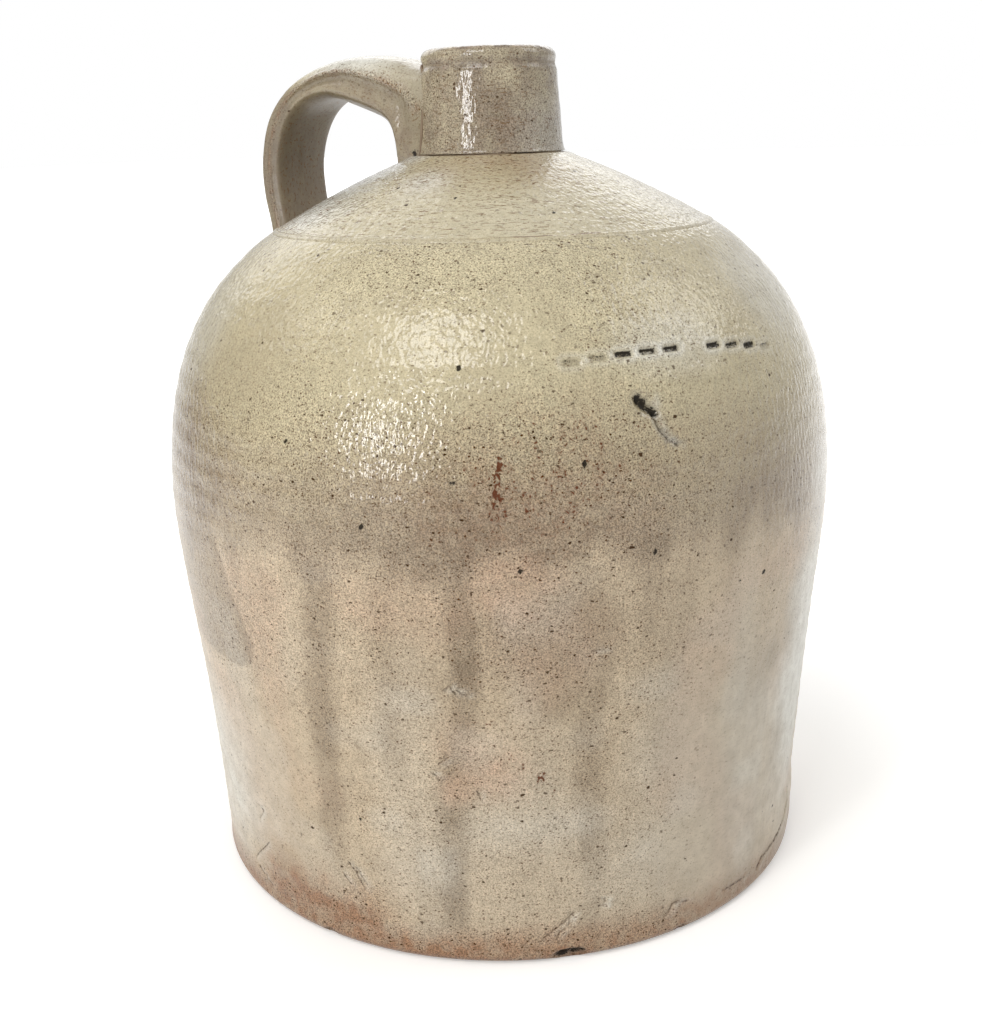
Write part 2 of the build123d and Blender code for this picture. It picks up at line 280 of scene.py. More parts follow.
def heading(turn):
    """The way that an outline runs: straight up at 0 degrees, and in to the axis at 90."""
    angle = math.radians(turn)
    return np.array([-math.sin(angle), math.cos(angle)])


def inset(place, depth):
    """A place (radius, height, turn) moved this deep into the clay."""
    along = heading(place[2])
    return (place[0] - along[1] * depth, place[1] + along[0] * depth, place[2])


def bend(start, end, pulls, count):
    """Points of a cubic Bezier curve that leaves one place and arrives at another along their turns,
    with handles as long as these shares of the chord."""
    first = np.array(start[:2])
    last = np.array(end[:2])
    chord = np.linalg.norm(last - first)
    leave = first + heading(start[2]) * pulls[0] * chord
    arrive = last - heading(end[2]) * pulls[1] * chord
    t = np.linspace(0, 1, count)[:, None]
    back = 1 - t
    return back ** 3 * first + 3 * back ** 2 * t * leave + 3 * back * t ** 2 * arrive + t ** 3 * last


def arc(middle, radius, start, end, count):
    """Points of a circle's arc in an outline, between two angles in degrees from straight out."""
    angles = np.radians(np.linspace(start, end, count))
    return np.stack([middle[0] + radius * np.cos(angles), middle[1] + radius * np.sin(angles)], axis=1)


def line(start, end, count):
    """Evenly spaced points of a straight line in an outline."""
    return np.linspace(start, end, count)


def joined(*runs):
    """Runs of an outline, end to end, with the shared points taken once."""
    return np.concatenate([runs[0]] + [run[1:] for run in runs[1:]])


def spaced(path, weights, count):
    """A path drawn again with this many points, closer together where the weights are larger: the
    weights are added up along it, and the points stand at equal steps of that sum."""
    steps = np.linalg.norm(np.diff(path, axis=0), axis=1) * (weights[1:] + weights[:-1]) / 2
    sums = np.concatenate([[0.0], np.cumsum(steps)])
    stops = np.linspace(0.0, sums[-1], count)
    return np.stack([np.interp(stops, sums, values) for values in path.T], axis=1)


# Places on the outline, each a radius, a height and a turn
FOOT_PLACE = (FOOT_RADIUS, FOOT_EDGE, FOOT_TURN)
BELLY_PLACE = (BELLY_RADIUS, BELLY_HEIGHT, 0.0)
SEAM_PLACE = (SEAM_RADIUS, SEAM_HEIGHT, SEAM_TURN)
CAP_PLACE = (*(np.array(SEAM_PLACE[:2]) + heading(SEAM_TURN) * SLIP), SEAM_TURN)
SEAT_PLACE = (SEAT_RADIUS, SEAT_HEIGHT, SEAT_TURN)


class Skin:
    """The outside of a turned piece, unrolled: every point has a bearing, a height, a radius and a way
    up along the wall."""

    def __init__(self, outline, bearings):
        self.outline = outline
        self.travel = travelled(outline)
        self.bearing, self.up = np.meshgrid(bearings, self.travel)
        self.radius = np.repeat(outline[:, :1], len(bearings), axis=1)
        self.height = np.repeat(outline[:, 1:], len(bearings), axis=1)
        self.points = self.at(0.0)

    def at(self, relief):
        """The skin's points, pushed out of the outline by this relief along its normal."""
        along = unit(np.gradient(self.outline, axis=0))
        return turned(self.bearing, self.radius + relief * along[:, 1:], self.height - relief * along[:, :1])

    def rings(self, spacing, shift):
        """Throwing rings from -1 to 1: a sine of the way up, with ridges this far apart, and a shift."""
        return np.sin(self.up * 2 * math.pi / spacing + shift)

    def from_mark(self, mark):
        """How far each point lies from a mark (bearing, height): to the right, and up along the wall."""
        turn = (self.bearing - mark[0] + 180) % 360 - 180
        row = np.interp(mark[1], self.outline[:, 1], self.travel)
        return np.radians(turn) * self.radius, self.up - row

    def spot(self, mark, width, tall=None):
        """A bell-shaped spot of this half width and half height round a mark."""
        across, up = self.from_mark(mark)
        return bell(np.hypot(across / width, up / (tall or width)), 1.0)

    def patch(self, mark, width, tall, edge, wander):
        """An oval patch round a mark, 1 inside and 0 outside, with an edge this wide that wanders."""
        across, up = self.from_mark(mark)
        return smooth(1 + edge, 1 - edge, np.hypot(across / width, up / tall) + wander)

    def stroke(self, start, end, width):
        """A bell-shaped stroke from one mark to another: the distance to the segment between them."""
        across, up = self.from_mark(start)
        rows = np.interp([start[1], end[1]], self.outline[:, 1], self.travel)
        radius = np.interp(start[1], self.outline[:, 1], self.outline[:, 0])
        step = np.array([math.radians(end[0] - start[0]) * radius, rows[1] - rows[0]])
        share = np.clip((across * step[0] + up * step[1]) / (step @ step), 0.0, 1.0)
        return bell(np.hypot(across - share * step[0], up - share * step[1]), width)

    def run_down(self, course, width):
        """A run of glaze down the wall: its middle's bearing at each height is read off a course of
        marks, and it fades at both ends."""
        heights = [mark[1] for mark in course]
        middle = np.interp(self.height, heights[::-1], [mark[0] for mark in course][::-1])
        turn = (self.bearing - middle + 180) % 360 - 180
        low_end = smooth(heights[-1] - 10, heights[-1] + 14, self.height)
        high_end = smooth(heights[0] + 8, heights[0] - 6, self.height)
        return smooth(1.65, 0.30, np.abs(np.radians(turn) * self.radius / width)) * low_end * high_end

    def grain(self, stretch):
        """Coordinates for marks that follow the wheel: a cylinder, stretched along the way up."""
        return turned(self.bearing, self.outline[:, 0].mean(), self.up * stretch) * MM


ATTRIBUTES = {1: ("FLOAT", "value"), 3: ("FLOAT_VECTOR", "vector"), 4: ("FLOAT_COLOR", "color")}


def make_piece(name, grid, material, nodes, values, ring=False):
    """A closed piece from a grid of points in millimetres, shape (rows, columns, 3). Columns run round and
    close on themselves. Rows close on themselves where ring is true, and else each end row closes to a
    point at its middle. Its faces are turned outwards by the sign of the volume that they enclose."""
    rows, columns = grid.shape[:2]
    points = grid.reshape(-1, 3) * MM
    index = np.arange(rows * columns).reshape(rows, columns)
    low = index if ring else index[:-1]
    high = np.roll(index, -1, axis=0) if ring else index[1:]
    around = [low, np.roll(low, -1, axis=1), np.roll(high, -1, axis=1), high]
    quads = np.stack(around, axis=-1).reshape(-1, 4)
    triangles = np.zeros((0, 3), dtype=int)
    if not ring:
        bottom_pole, top_pole = len(points), len(points) + 1
        points = np.concatenate([points, [points[index[row]].mean(axis=0) for row in (0, -1)]])
        bottom = np.stack([np.roll(index[0], -1), index[0], np.full(columns, bottom_pole)], axis=-1)
        top = np.stack([index[-1], np.roll(index[-1], -1), np.full(columns, top_pole)], axis=-1)
        triangles = np.concatenate([bottom, top])
    corners = np.concatenate([quads[:, :3], quads[:, [0, 2, 3]], triangles])
    first, second, third = (points[corners[:, i]] for i in range(3))
    if np.einsum("ij,ij->i", first, np.cross(second, third)).sum() < 0:
        quads = quads[:, ::-1]
        triangles = triangles[:, ::-1]
    mesh = bpy.data.meshes.new(name)
    mesh.from_pydata(points.tolist(), [], quads.tolist() + triangles.tolist())
    mesh.polygons.foreach_set("use_smooth", np.ones(len(mesh.polygons), dtype=bool))
    for key, array in values.items():
        flat = array.reshape(rows * columns, -1)
        if not ring:
            flat = np.concatenate([flat, [flat[index[row]].mean(axis=0) for row in (0, -1)]])
        kind, field = ATTRIBUTES[flat.shape[1]]
        mesh.attributes.new(key, kind, "POINT").data.foreach_set(field, flat.astype(np.float32).ravel())
    mesh.materials.append(material)
    mesh.update()
    piece = bpy.data.objects.new(name, mesh)
    bpy.context.scene.collection.objects.link(piece)
    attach(piece, "root")
    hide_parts(*nodes)
    return piece


def tones(shape, taupe=0.0, blush=0.0, ash_and_sheen=0.0, smoke_and_shade=0.0, toast=0.0, iron=0.0, char=0.0, pepper=0.6,
          gloss=0.5, dashes=0.0, peel=None):
    """The masks that the glaze reads, packed in two colour attributes and three numbers. The dimples of the
    peel follow the gloss unless they are given."""
    if peel is None:
        peel = gloss
    masks = (taupe, blush, ash_and_sheen, smoke_and_shade, toast, iron, char, pepper, gloss, dashes, peel)
    full = [np.clip(np.broadcast_to(mask, shape), 0.0, 1.0) for mask in masks]
    return {
        "bands": np.stack(full[0:4], axis=-1),
        "marks": np.stack(full[4:8], axis=-1),
        "gloss": full[8],
        "dashes": full[9],
        "peel": full[10],
    }


def extend(values, before, after, plain):
    """Masks with this many rows added before and after the skin's own. The rows hold the plain masks, and 0
    where there is none."""
    longer = {}
    for key, array in values.items():
        fill = plain.get(key, np.zeros((1, 1, *array.shape[2:])))
        first, last = (np.broadcast_to(fill, (count, *array.shape[1:])) for count in (before, after))
        longer[key] = np.concatenate([first, array, last])
    return longer


def feed(tree, node, inputs):
    """Gives a node's sockets their values, or links them to a socket or to another node's first output."""
    for key, value in inputs.items():
        if isinstance(value, bpy.types.Node):
            value = value.outputs[0]
        if isinstance(value, bpy.types.NodeSocket):
            tree.links.new(value, node.inputs[key])
        else:
            node.inputs[key].default_value = value


def add_node(tree, kind, inputs=None, **settings):
    """Adds a shader node: settings are its own properties, and inputs are fed to its sockets."""
    made = tree.nodes.new("ShaderNode" + kind)
    for key, value in settings.items():
        setattr(made, key, value)
    feed(tree, made, inputs or {})
    return made


def new_material(name):
    """A node material with its tree, its Principled shader and the means to add nodes to it."""
    material = bpy.data.materials.new(name)
    material.use_nodes = True
    tree = material.node_tree
    return material, tree, tree.nodes["Principled BSDF"], partial(add_node, tree)


def unrolled(bearing, height):
    """A place on the wall's own map: how far round the foot, and how high."""
    return np.stack([np.radians(bearing) * FOOT_RADIUS, height, 0 * height], axis=-1) * MM


def from_scratches(add, wall):
    """How far a place on the wall's map lies from the nearest scratch: each is a chain of straight strokes,
    and the distance to a stroke is that to the nearest point of its segment."""
    least = 1.0
    for start, end in strokes(SCRATCHES):
        first = unrolled(*start)
        step = unrolled(*end) - first
        reach = add("VectorMath", {0: wall, 1: first}, operation="SUBTRACT")
        share = add("VectorMath", {0: reach, 1: step / (step @ step)}, operation="DOT_PRODUCT")
        share = add("Clamp", {0: share.outputs["Value"]})
        nearest = add("VectorMath", {0: step, "Scale": share}, operation="SCALE")
        apart = add("VectorMath", {0: reach, 1: nearest}, operation="DISTANCE")
        least = add("Math", {0: least, 1: apart.outputs["Value"]}, operation="MINIMUM")
    return least


# Sizes of the glaze's patterns in millimetres: how far apart their lumps lie. Grit, which is finer in the
# clay, is drawn as coarse as it has to be to show
CLOUD_SIZE = 30.0
MOTTLE_SIZE = 5.0
GRIT_SIZE = 0.5
FRECKLE_SIZE = 1.0
STREAK_SIZE = 2.4
RIPPLE_SIZE = 1.1
DIMPLE_SIZE = 1.7
DIMPLE_DEPTH = 0.48
SLIP_LUMP_SIZE = 6.0
LINING_RUN_SIZE = 7.0
SLIP_BUMP = 0.2
CREAM_HEIGHTS = (165.0, 215.0)  # from here to there the glaze turns from beige to cream
CREAM_WANDER = 50.0  # the most that the clouds add to a height there
SCRATCH_EDGES = (0.55, 0.20)  # how far from a scratch's middle it starts to show, and shows in full


def salt_glaze():
    """Salt-glazed stoneware: soda vapour made a thin glass on buff clay, so it is speckled all over,
    shines in small dimples where the glaze is thick and is matt and toasted where it is thin."""
    if "salt_glaze" in bpy.data.materials:
        return bpy.data.materials["salt_glaze"]
    paint = bpy.context.scene.glaze_colours
    material, tree, shader, add = new_material("salt_glaze")
    place = add("TexCoord").outputs["Object"]
    broad = add("Attribute", attribute_name="bands")
    small = add("Attribute", attribute_name="marks")
    taupe, blush, ash_and_sheen = add("SeparateColor", {0: broad}).outputs
    toast, iron, char = add("SeparateColor", {0: small}).outputs
    # The bands' alpha darkens the value: smoke, and painted shade in grooves, under the strap and beside its
    # root
    smoke_and_shade = broad.outputs["Alpha"]
    pepper = small.outputs["Alpha"]
    gloss = add("Attribute", attribute_name="gloss").outputs["Fac"]
    dashes = add("Attribute", attribute_name="dashes").outputs["Fac"]
    peel = add("Attribute", attribute_name="peel").outputs["Fac"]
    grain = add("Attribute", attribute_name="grain").outputs["Vector"]
    wall = add("Attribute", attribute_name="wall").outputs["Vector"]
    clouds, mottle, sand, freckle = (
        add("TexNoise", {"Vector": place, "Scale": 1 / (size * MM), "Detail": detail, "Roughness": rough})
        for size, detail, rough in (
            (CLOUD_SIZE, 4.0, 0.5),
            (MOTTLE_SIZE, 4.0, 0.6),
            (GRIT_SIZE, 1.0, 0.6),
            (FRECKLE_SIZE, 2.0, 0.5),
        )
    )

    # Broad colour: cream above, beige below, then the masks with ragged edges, among them ash that also
    # paints sheen, then smoke, which also paints shade
    height = add("SeparateXYZ", {0: place}).outputs["Z"]
    wander = add("Math", {0: clouds, 1: CREAM_WANDER * MM, 2: height}, operation="MULTIPLY_ADD")
    low, high = CREAM_HEIGHTS
    upper = add("MapRange", {0: wander, 1: low * MM, 2: high * MM}, interpolation_type="SMOOTHSTEP")
    body = add("Mix", {0: upper, 6: paint.beige, 7: paint.cream}, data_type="RGBA").outputs[2]
    for mask, tone, ragged in (
        (taupe, paint.taupe, 0.25),
        (blush, paint.blush, 0.25),
        (ash_and_sheen, paint.ash_and_sheen, 0.10),
        (toast, paint.toast, 0.40),
    ):
        rough = add("MapRange", {0: mottle, 1: 0.35, 2: 0.65, 3: 1 - ragged, 4: 1 + ragged})
        share = add("Math", {0: mask, 1: rough}, operation="MULTIPLY", use_clamp=True)
        body = add("Mix", {0: share, 6: body, 7: tone}, data_type="RGBA").outputs[2]
    shade = add("MapRange", {0: mottle, 1: 0.3, 2: 0.7, 3: 0.90, 4: 1.09})
    shade = add("Math", {0: smoke_and_shade, 1: -0.7, 2: shade}, operation="MULTIPLY_ADD")
    body = add("HueSaturation", {"Value": shade, "Color": body})

    # Salt and pepper: a grain of pale glass and dark clay all over
    salt = add("MapRange", {0: sand, 1: 0.3, 2: 0.7, 3: -0.56, 4: 0.50})
    faint = add("Math", {0: pepper, 1: pepper}, operation="MULTIPLY")
    salt = add("Math", {0: salt, 1: faint, 2: 1.0}, operation="MULTIPLY_ADD")
    body = add("HueSaturation", {"Value": salt, "Color": body})
    dark = add("MapRange", {0: sand, 1: 0.40, 2: 0.30, 4: 0.55})
    dark = add("Math", {0: dark, 1: faint}, operation="MULTIPLY")
    body = add("Mix", {0: dark, 6: body, 7: paint.sepia}, data_type="RGBA").outputs[2]

    # Dashes that follow the wheel or the pull of the hand
    streaks = {"Vector": grain, "Scale": 1 / (STREAK_SIZE * MM), "Detail": 3.0, "Roughness": 0.6}
    streak = add("TexNoise", streaks)
    dash = add("MapRange", {0: streak, 1: 0.57, 2: 0.62})
    dash = add("Math", {0: dash, 1: dashes}, operation="MULTIPLY", use_clamp=True)
    body = add("Mix", {0: dash, 6: body, 7: paint.sepia}, data_type="RGBA").outputs[2]

    # Iron specks: cell in mm, speck's radius as a share of it, share of cells kept, tone, and where
    flat = add("Mapping", {"Vector": place, "Scale": (1.0, 1.0, 1.4)})
    ripples = {"Vector": place, "Scale": 1 / (RIPPLE_SIZE * MM), "Detail": 2.0}
    ripple = add("TexNoise", ripples).outputs["Color"]
    bent = add("VectorMath", {0: ripple, 1: (1.3 * MM,) * 3, 2: flat}, operation="MULTIPLY_ADD")
    bare = []
    for cell, radius, kept, tone, where in (
        (1.15, 0.28, 0.85, paint.rust, pepper),
        (2.4, 0.20, 0.75, paint.pepper, pepper),
        (6.0, 0.11, 0.40, paint.pepper, 0.95),
    ):
        cells = add("TexVoronoi", {"Vector": bent, "Scale": 1 / (cell * MM)})
        luck = add("SeparateColor", {0: cells.outputs["Color"]})
        swell = add("Math", {0: luck.outputs[1], 1: 1.2, 2: 0.8}, operation="MULTIPLY_ADD")
        apart = add("Math", {0: cells.outputs["Distance"], 1: swell}, operation="MULTIPLY")
        core = add("MapRange", {0: apart, 1: radius * 1.2, 2: radius * 0.8})
        chosen = add("MapRange", {0: luck.outputs[0], 1: 1 - kept, 2: 1 - kept * 0.5})
        speck = add("Math", {0: core, 1: chosen}, operation="MULTIPLY")
        speck = add("Math", {0: speck, 1: where}, operation="MULTIPLY")
        body = add("Mix", {0: speck, 6: body, 7: tone}, data_type="RGBA").outputs[2]
        bare.append(speck)

    # Rust bleeds in freckles, and black in pits, both with ragged edges; scratches are broken lines
    rusty = add("Math", {0: freckle, 1: iron}, operation="ADD")
    rusty = add("Math", {0: mottle, 1: 0.4, 2: rusty}, operation="MULTIPLY_ADD")
    rusty = add("MapRange", {0: rusty, 1: 1.00, 2: 1.10, 4: 0.92})
    body = add("Mix", {0: rusty, 6: body, 7: paint.iron}, data_type="RGBA").outputs[2]
    black = add("Math", {0: sand, 1: 0.8, 2: char}, operation="MULTIPLY_ADD")
    black = add("MapRange", {0: black, 1: 0.84, 2: 0.98, 4: 0.95})
    body = add("Mix", {0: black, 6: body, 7: paint.char}, data_type="RGBA").outputs[2]
    shaken = add("VectorMath", {0: ripple, 1: (0.7 * MM,) * 3, 2: wall}, operation="MULTIPLY_ADD")
    outer, inner = SCRATCH_EDGES
    cut = add("MapRange", {0: from_scratches(add, shaken), 1: outer * MM, 2: inner * MM})
    broken = add("MapRange", {0: freckle, 1: 0.38, 2: 0.50, 3: 0.25, 4: 0.90})
    cut = add("Math", {0: cut, 1: broken}, operation="MULTIPLY")
    body = add("Mix", {0: cut, 6: body, 7: paint.pepper}, data_type="RGBA").outputs[2]

    # Specks, pits and scratches are bare of glass, so they don't shine
    dull = 0.0
    for mark in (*bare, rusty, black, cut):
        dull = add("Math", {0: dull, 1: mark}, operation="MAXIMUM")
    shine = add("MapRange", {0: dull, 3: 0.5, 4: 0.05})

    # Gloss: dimpled orange peel where the glaze is thick, fine grit where it is thin
    worn = add("Math", {0: mottle, 1: -0.16, 2: 0.58}, operation="MULTIPLY_ADD")
    polish = add("Math", {0: gloss, 1: -0.41, 2: worn}, operation="MULTIPLY_ADD", use_clamp=True)
    upright = add("Mapping", {"Vector": place, "Scale": (1.0, 1.0, 0.6)})
    dimple = add("TexNoise", {"Vector": upright, "Scale": 1 / (DIMPLE_SIZE * MM), "Detail": 1.0})
    lifted = add("Math", {0: dimple, 1: peel}, operation="MULTIPLY")
    lifted = add("Math", {0: sand, 1: 0.04, 2: lifted}, operation="MULTIPLY_ADD")
    lifted = add("Math", {0: cut, 1: -0.8, 2: lifted}, operation="MULTIPLY_ADD")
    bump = add("Bump", {"Strength": 1.0, "Distance": DIMPLE_DEPTH * MM, "Height": lifted})
    feed(tree, shader, {"Base Color": body, "Roughness": polish})
    feed(tree, shader, {"Specular IOR Level": shine, "Normal": bump})
    return material


def fired_slip():
    """Fired joining slip: clay cream squeezed out of a joint, matt, with clouds of brown and taupe."""
    if "joining_slip" in bpy.data.materials:
        return bpy.data.materials["joining_slip"]
    paint = bpy.context.scene.glaze_colours
    material, tree, shader, add = new_material("joining_slip")
    place = add("TexCoord").outputs["Object"]
    clouds = add("TexNoise", {"Vector": place, "Scale": 1 / (SLIP_LUMP_SIZE * MM), "Detail": 4.0})
    share = add("MapRange", {0: clouds, 1: 0.35, 2: 0.65})
    tone = add("Mix", {0: share, 6: paint.slip, 7: paint.taupe}, data_type="RGBA").outputs[2]
    matt = add("MapRange", {0: clouds, 3: 0.4, 4: 0.65})
    bump = add("Bump", {"Strength": 1.0, "Distance": SLIP_BUMP * MM, "Height": clouds})
    feed(tree, shader, {"Base Color": tone, "Roughness": matt, "Normal": bump})
    return material


def brown_slip_glaze():
    """Brown slip glaze: river clay that melted to a dark glossy glass, lighter where it ran thin."""
    if "slip_glaze" in bpy.data.materials:
        return bpy.data.materials["slip_glaze"]
    paint = bpy.context.scene.glaze_colours
    material, tree, shader, add = new_material("slip_glaze")
    place = add("TexCoord").outputs["Object"]
    drawn = add("Mapping", {"Vector": place, "Scale": (1.0, 1.0, 0.25)})
    runs = add("TexNoise", {"Vector": drawn, "Scale": 1 / (LINING_RUN_SIZE * MM), "Detail": 5.0})
    share = add("MapRange", {0: runs, 1: 0.4, 2: 0.75})
    tone = add("Mix", {0: share, 6: paint.lining, 7: paint.iron}, data_type="RGBA").outputs[2]
    polish = add("MapRange", {0: runs, 3: 0.12, 4: 0.34})
    bump = add("Bump", {"Strength": 0.6, "Distance": SLIP_BUMP * MM, "Height": runs})
    feed(tree, shader, {"Base Color": tone, "Roughness": polish, "Normal": bump})
    return material


# Marks on the body, each a bearing and a height; the gouge's and the bleeds' also have a width
GOUGE = (((21.3, 189.2), 1.7), ((22.0, 187.9), 2.1), ((22.8, 186.4), 1.9), ((23.6, 185.0), 1.4))
# A painted highlight of pale ash beside the gouge's pit
GOUGE_GLINT = (24.2, 188.0)
GOUGE_TAIL = ((23.6, 184.1), (23.8, 181.7), (24.2, 179.9), (25.4, 177.0), (27.0, 175.0))
DASH_FIRST = 11.4
DASH_STEP = 4.35
DASH_STRENGTHS = (0.70, 0.66, 0.95, 1.0, 1.0, 0.0, 0.95, 0.95, 0.95, 0.70)
DASH_HEIGHT = 202.4
DASH_MIDDLE = 26.0  # where the row is highest
DASH_FALL = 0.0068  # how far it falls, times the square of the degrees from there
DASH_HALF = 1.9  # half the length of the straight part of a dash
IRON_BLEEDS = (
    ((0.1, 174.3), 2.4), ((-0.3, 169.2), 3.4), ((-0.5, 163.4), 2.6), ((0.7, 159.8), 1.8),
    ((5.2, 70.8), 2.4), ((7.0, 65.2), 1.7), ((2.1, 74.6), 1.7), ((0.2, 77.4), 1.6), ((-2.2, 90.4), 1.7),
    ((-118.0, 96.0), 3.0), ((150.0, 150.0), 3.2),
)
BURNT_SPOTS = (
    (-33.2, 177.7), (-6.6, 168.2), (22.2, 143.8), (38.1, 126.9), (43.8, 127.2), (-39.4, 128.4),
    (-5.8, 200.5), (12.0, 172.3), (-20.0, 154.0), (-24.9, 50.9), (2.6, 141.1), (88.0, 160.0),
    (112.0, 92.0), (-150.0, 130.0), (-96.0, 70.0),
)

# The band at the belly: its top, its foot and how deep its tone is, read off between these bearings
BAND_BEARINGS = (-180, -110, -60, -40, -22, -14, -5, 5, 17, 33, 46, 60, 110, 180)
BAND_TOPS = (158, 166, 178, 160, 161, 160, 158, 157, 155, 160, 158, 156, 162, 158)
BAND_FEET = (134, 142, 135, 146, 140, 141, 140, 144, 143, 142, 136, 138, 140, 134)
BAND_DEPTHS = (0.65, 0.75, 0.92, 0.48, 0.76, 0.77, 1.0, 0.82, 0.74, 0.60, 0.82, 0.74, 0.60, 0.65)

# Runs of glaze below it: a course of marks downwards, half a width and a strength
RUNS = (
    (((-28, 150), (-28, 138), (-29.5, 110), (-30.5, 80), (-31, 30)), 6.0, 0.66),
    (((-17.5, 145), (-17.5, 125), (-18, 97), (-18.3, 70)), 5.0, 0.45),
    (((-5.0, 152), (-6.2, 133), (-6.0, 116), (-6.0, 94)), 5.5, 1.0),
    (((-5.8, 103), (-7.6, 78), (-8.8, 58), (-9.6, 36), (-9.8, 8)), 5.0, 0.75),
    (((12, 140), (14.6, 114), (12.6, 92), (11.8, 77), (12.6, 62), (14.1, 26)), 4.5, 0.55),
    (((27, 140), (26, 60)), 7.0, 0.30),
    (((44, 100), (45, 70)), 9.0, 0.35),
    (((58, 136), (57, 40)), 8.0, 0.45),
    (((84, 140), (86, 25)), 6.0, 0.60),
    (((109, 142), (107, 70)), 8.0, 0.50),
    (((137, 138), (139, 20)), 6.5, 0.65),
    (((166, 136), (165, 60)), 9.0, 0.50),
    (((-164, 136), (-161, 35)), 6.0, 0.60),
    (((-136, 140), (-138, 15)), 7.5, 0.60),
    (((-104, 142), (-102, 80)), 6.0, 0.55),
    (((-82, 140), (-83, 40)), 7.0, 0.40),
)

# Mauve clouds, peach flashes, pale blooms and rust freckles: mark, half width, half height and strength; two
# of the blooms are painted sheen. The three patches after them have no strength of their own
MAUVES = (
    ((6.0, 119.0), 24, 17, 0.72), ((8.0, 104.0), 12, 12, 0.52), ((49.5, 93.0), 9, 7, 0.45),
    ((-14.0, 122.0), 18, 22, 0.22), ((100.0, 112.0), 26, 20, 0.35), ((-130.0, 108.0), 24, 22, 0.35),
)
PEACHES = (
    ((1.7, 135.0), 12, 10, 0.55), ((-2.8, 72.0), 13, 11, 0.75), ((-8.0, 67.0), 7, 7, 0.7),
    ((6.0, 117.0), 20, 15, 0.30), ((95.0, 84.0), 14, 12, 0.6), ((152.0, 96.0), 16, 14, 0.6),
    ((-125.0, 72.0), 15, 13, 0.6),
)
# The blooms at (62, 214) and (-66, 205), high on the shoulder at the right and the left, are painted sheen
BLOOMS_AND_SHEEN = (
    ((-68, 44), 32, 36, 0.60), ((45, 68), 12, 40, 0.12), ((40, 48), 44, 52, 0.27),
    ((68, 62), 22, 50, 0.25), ((62, 214), 22, 18, 0.40), ((-66, 205), 20, 20, 0.30),
    ((66, 100), 20, 46, 0.65), ((0, 36), 42, 26, 0.12), ((-16, 62), 12, 42, 0.14),
    ((3, 62), 18, 20, 0.15), ((29, 205), 17, 9, 0.35), ((130, 60), 30, 40, 0.4), ((-150, 70), 30, 40, 0.4),
)
FRECKLES = (((6, 170), 34, 22, 0.21), ((3, 72), 18, 24, 0.12))
# Painted shade that darkens the left shoulder's upper part
SHOULDER_SHADE = ((-52, 186), 46, 30)
BELLY_TOAST = ((4, 166), 36, 22)
# Fewer specks where the window's glare falls, a painted highlight
GLARE_PATCH = ((-9, 204), 36, 16)

# Chips along the foot: mark, half width and half height
CHIPS = (
    ((9.7, 2.4), 6.0, 2.4), ((-34.0, 1.6), 3.0, 1.5), ((31.0, 1.6), 2.4, 1.4), ((120.0, 2.0), 5.0, 2.0),
)

# A mauve leaf at the left: its right edge, upwards
LEAF_HEIGHTS = (94, 96, 98, 106, 118, 130, 139, 150)
LEAF_BEARINGS = (-50.5, -47.5, -45.7, -44.2, -46.2, -48.4, -50.6, -54.4)

# Scratches, each a chain of marks
SCRATCHES = (
    ((5.1, 8.9), (10.6, 18.4)),
    ((7.6, 9.1), (8.2, 11.2), (8.9, 12.4)),
    ((9.7, 14.3), (9.9, 16.7)),
    ((27.3, 8.5), (28.6, 9.9), (29.2, 12.2), (30.3, 12.8), (32.6, 11.8)),
    ((67.3, 24.8), (67.5, 19.5), (65.0, 14.5), (61.0, 11.5), (54.4, 9.6), (52.1, 6.9)),
    ((47.6, 8.4), (41.2, 8.7)),
    ((-28.2, 33.1), (-26.8, 29.6), (-25.3, 24.1)),
    ((-26.7, 31.6), (-24.8, 26.3)),
    ((-29.7, 28.4), (-28.1, 24.6)),
    ((-55.4, 14.5), (-49.0, 25.8)),
    ((-54.1, 11.6), (-51.6, 9.8), (-49.3, 7.8)),
    ((-51.2, 39.4), (-49.6, 38.3), (-51.2, 34.1)),
    ((-9.2, 102.4), (-8.2, 103.6), (-7.3, 101.2)),
    ((-7.0, 102.6), (-5.6, 100.9)),
    ((-12.2, 72.8), (-10.9, 71.5)),
    ((-10.5, 76.0), (-9.3, 77.9)),
    ((-4.8, 66.6), (-4.3, 63.7)),
    ((13.0, 113.8), (14.8, 113.9)),
    ((14.8, 22.9), (16.1, 22.0), (15.9, 19.4), (15.0, 19.7)),
    ((23.6, 184.1), (24.2, 179.9), (25.4, 177.0), (27.0, 175.0)),
)
SCRATCH_WIDTH = 0.8
# The lip is raised in the relief, and also painted pale as a highlight
SCRATCH_LIP = (0.7, -0.5)  # where its raised lip lies: degrees to the right, and millimetres up
BODY_ROWS = 195
BODY_COLUMNS = 446

# Marks on the cap and the neck, with half a width and half a height where they are large
CAP_SPOTS = ((-12.0, 246.0), (17.0, 241.0), (-38.0, 249.0), (140.0, 246.0))
# Painted sheen on the cap beside the handle's root, and painted shadow between the handle, the neck and the
# cap
CAP_SHEEN = ((-29, 251), 9, 8)
CAP_SHADOW = ((-54, 253), 9, 7)
NECK_CLOUD = ((12, 266), 16, 10)
NECK_STAIN = ((13.3, 269.7), 8.0, 7.0)
RIM_CHIP = (74.0, RIM_HEIGHT - 2.4)


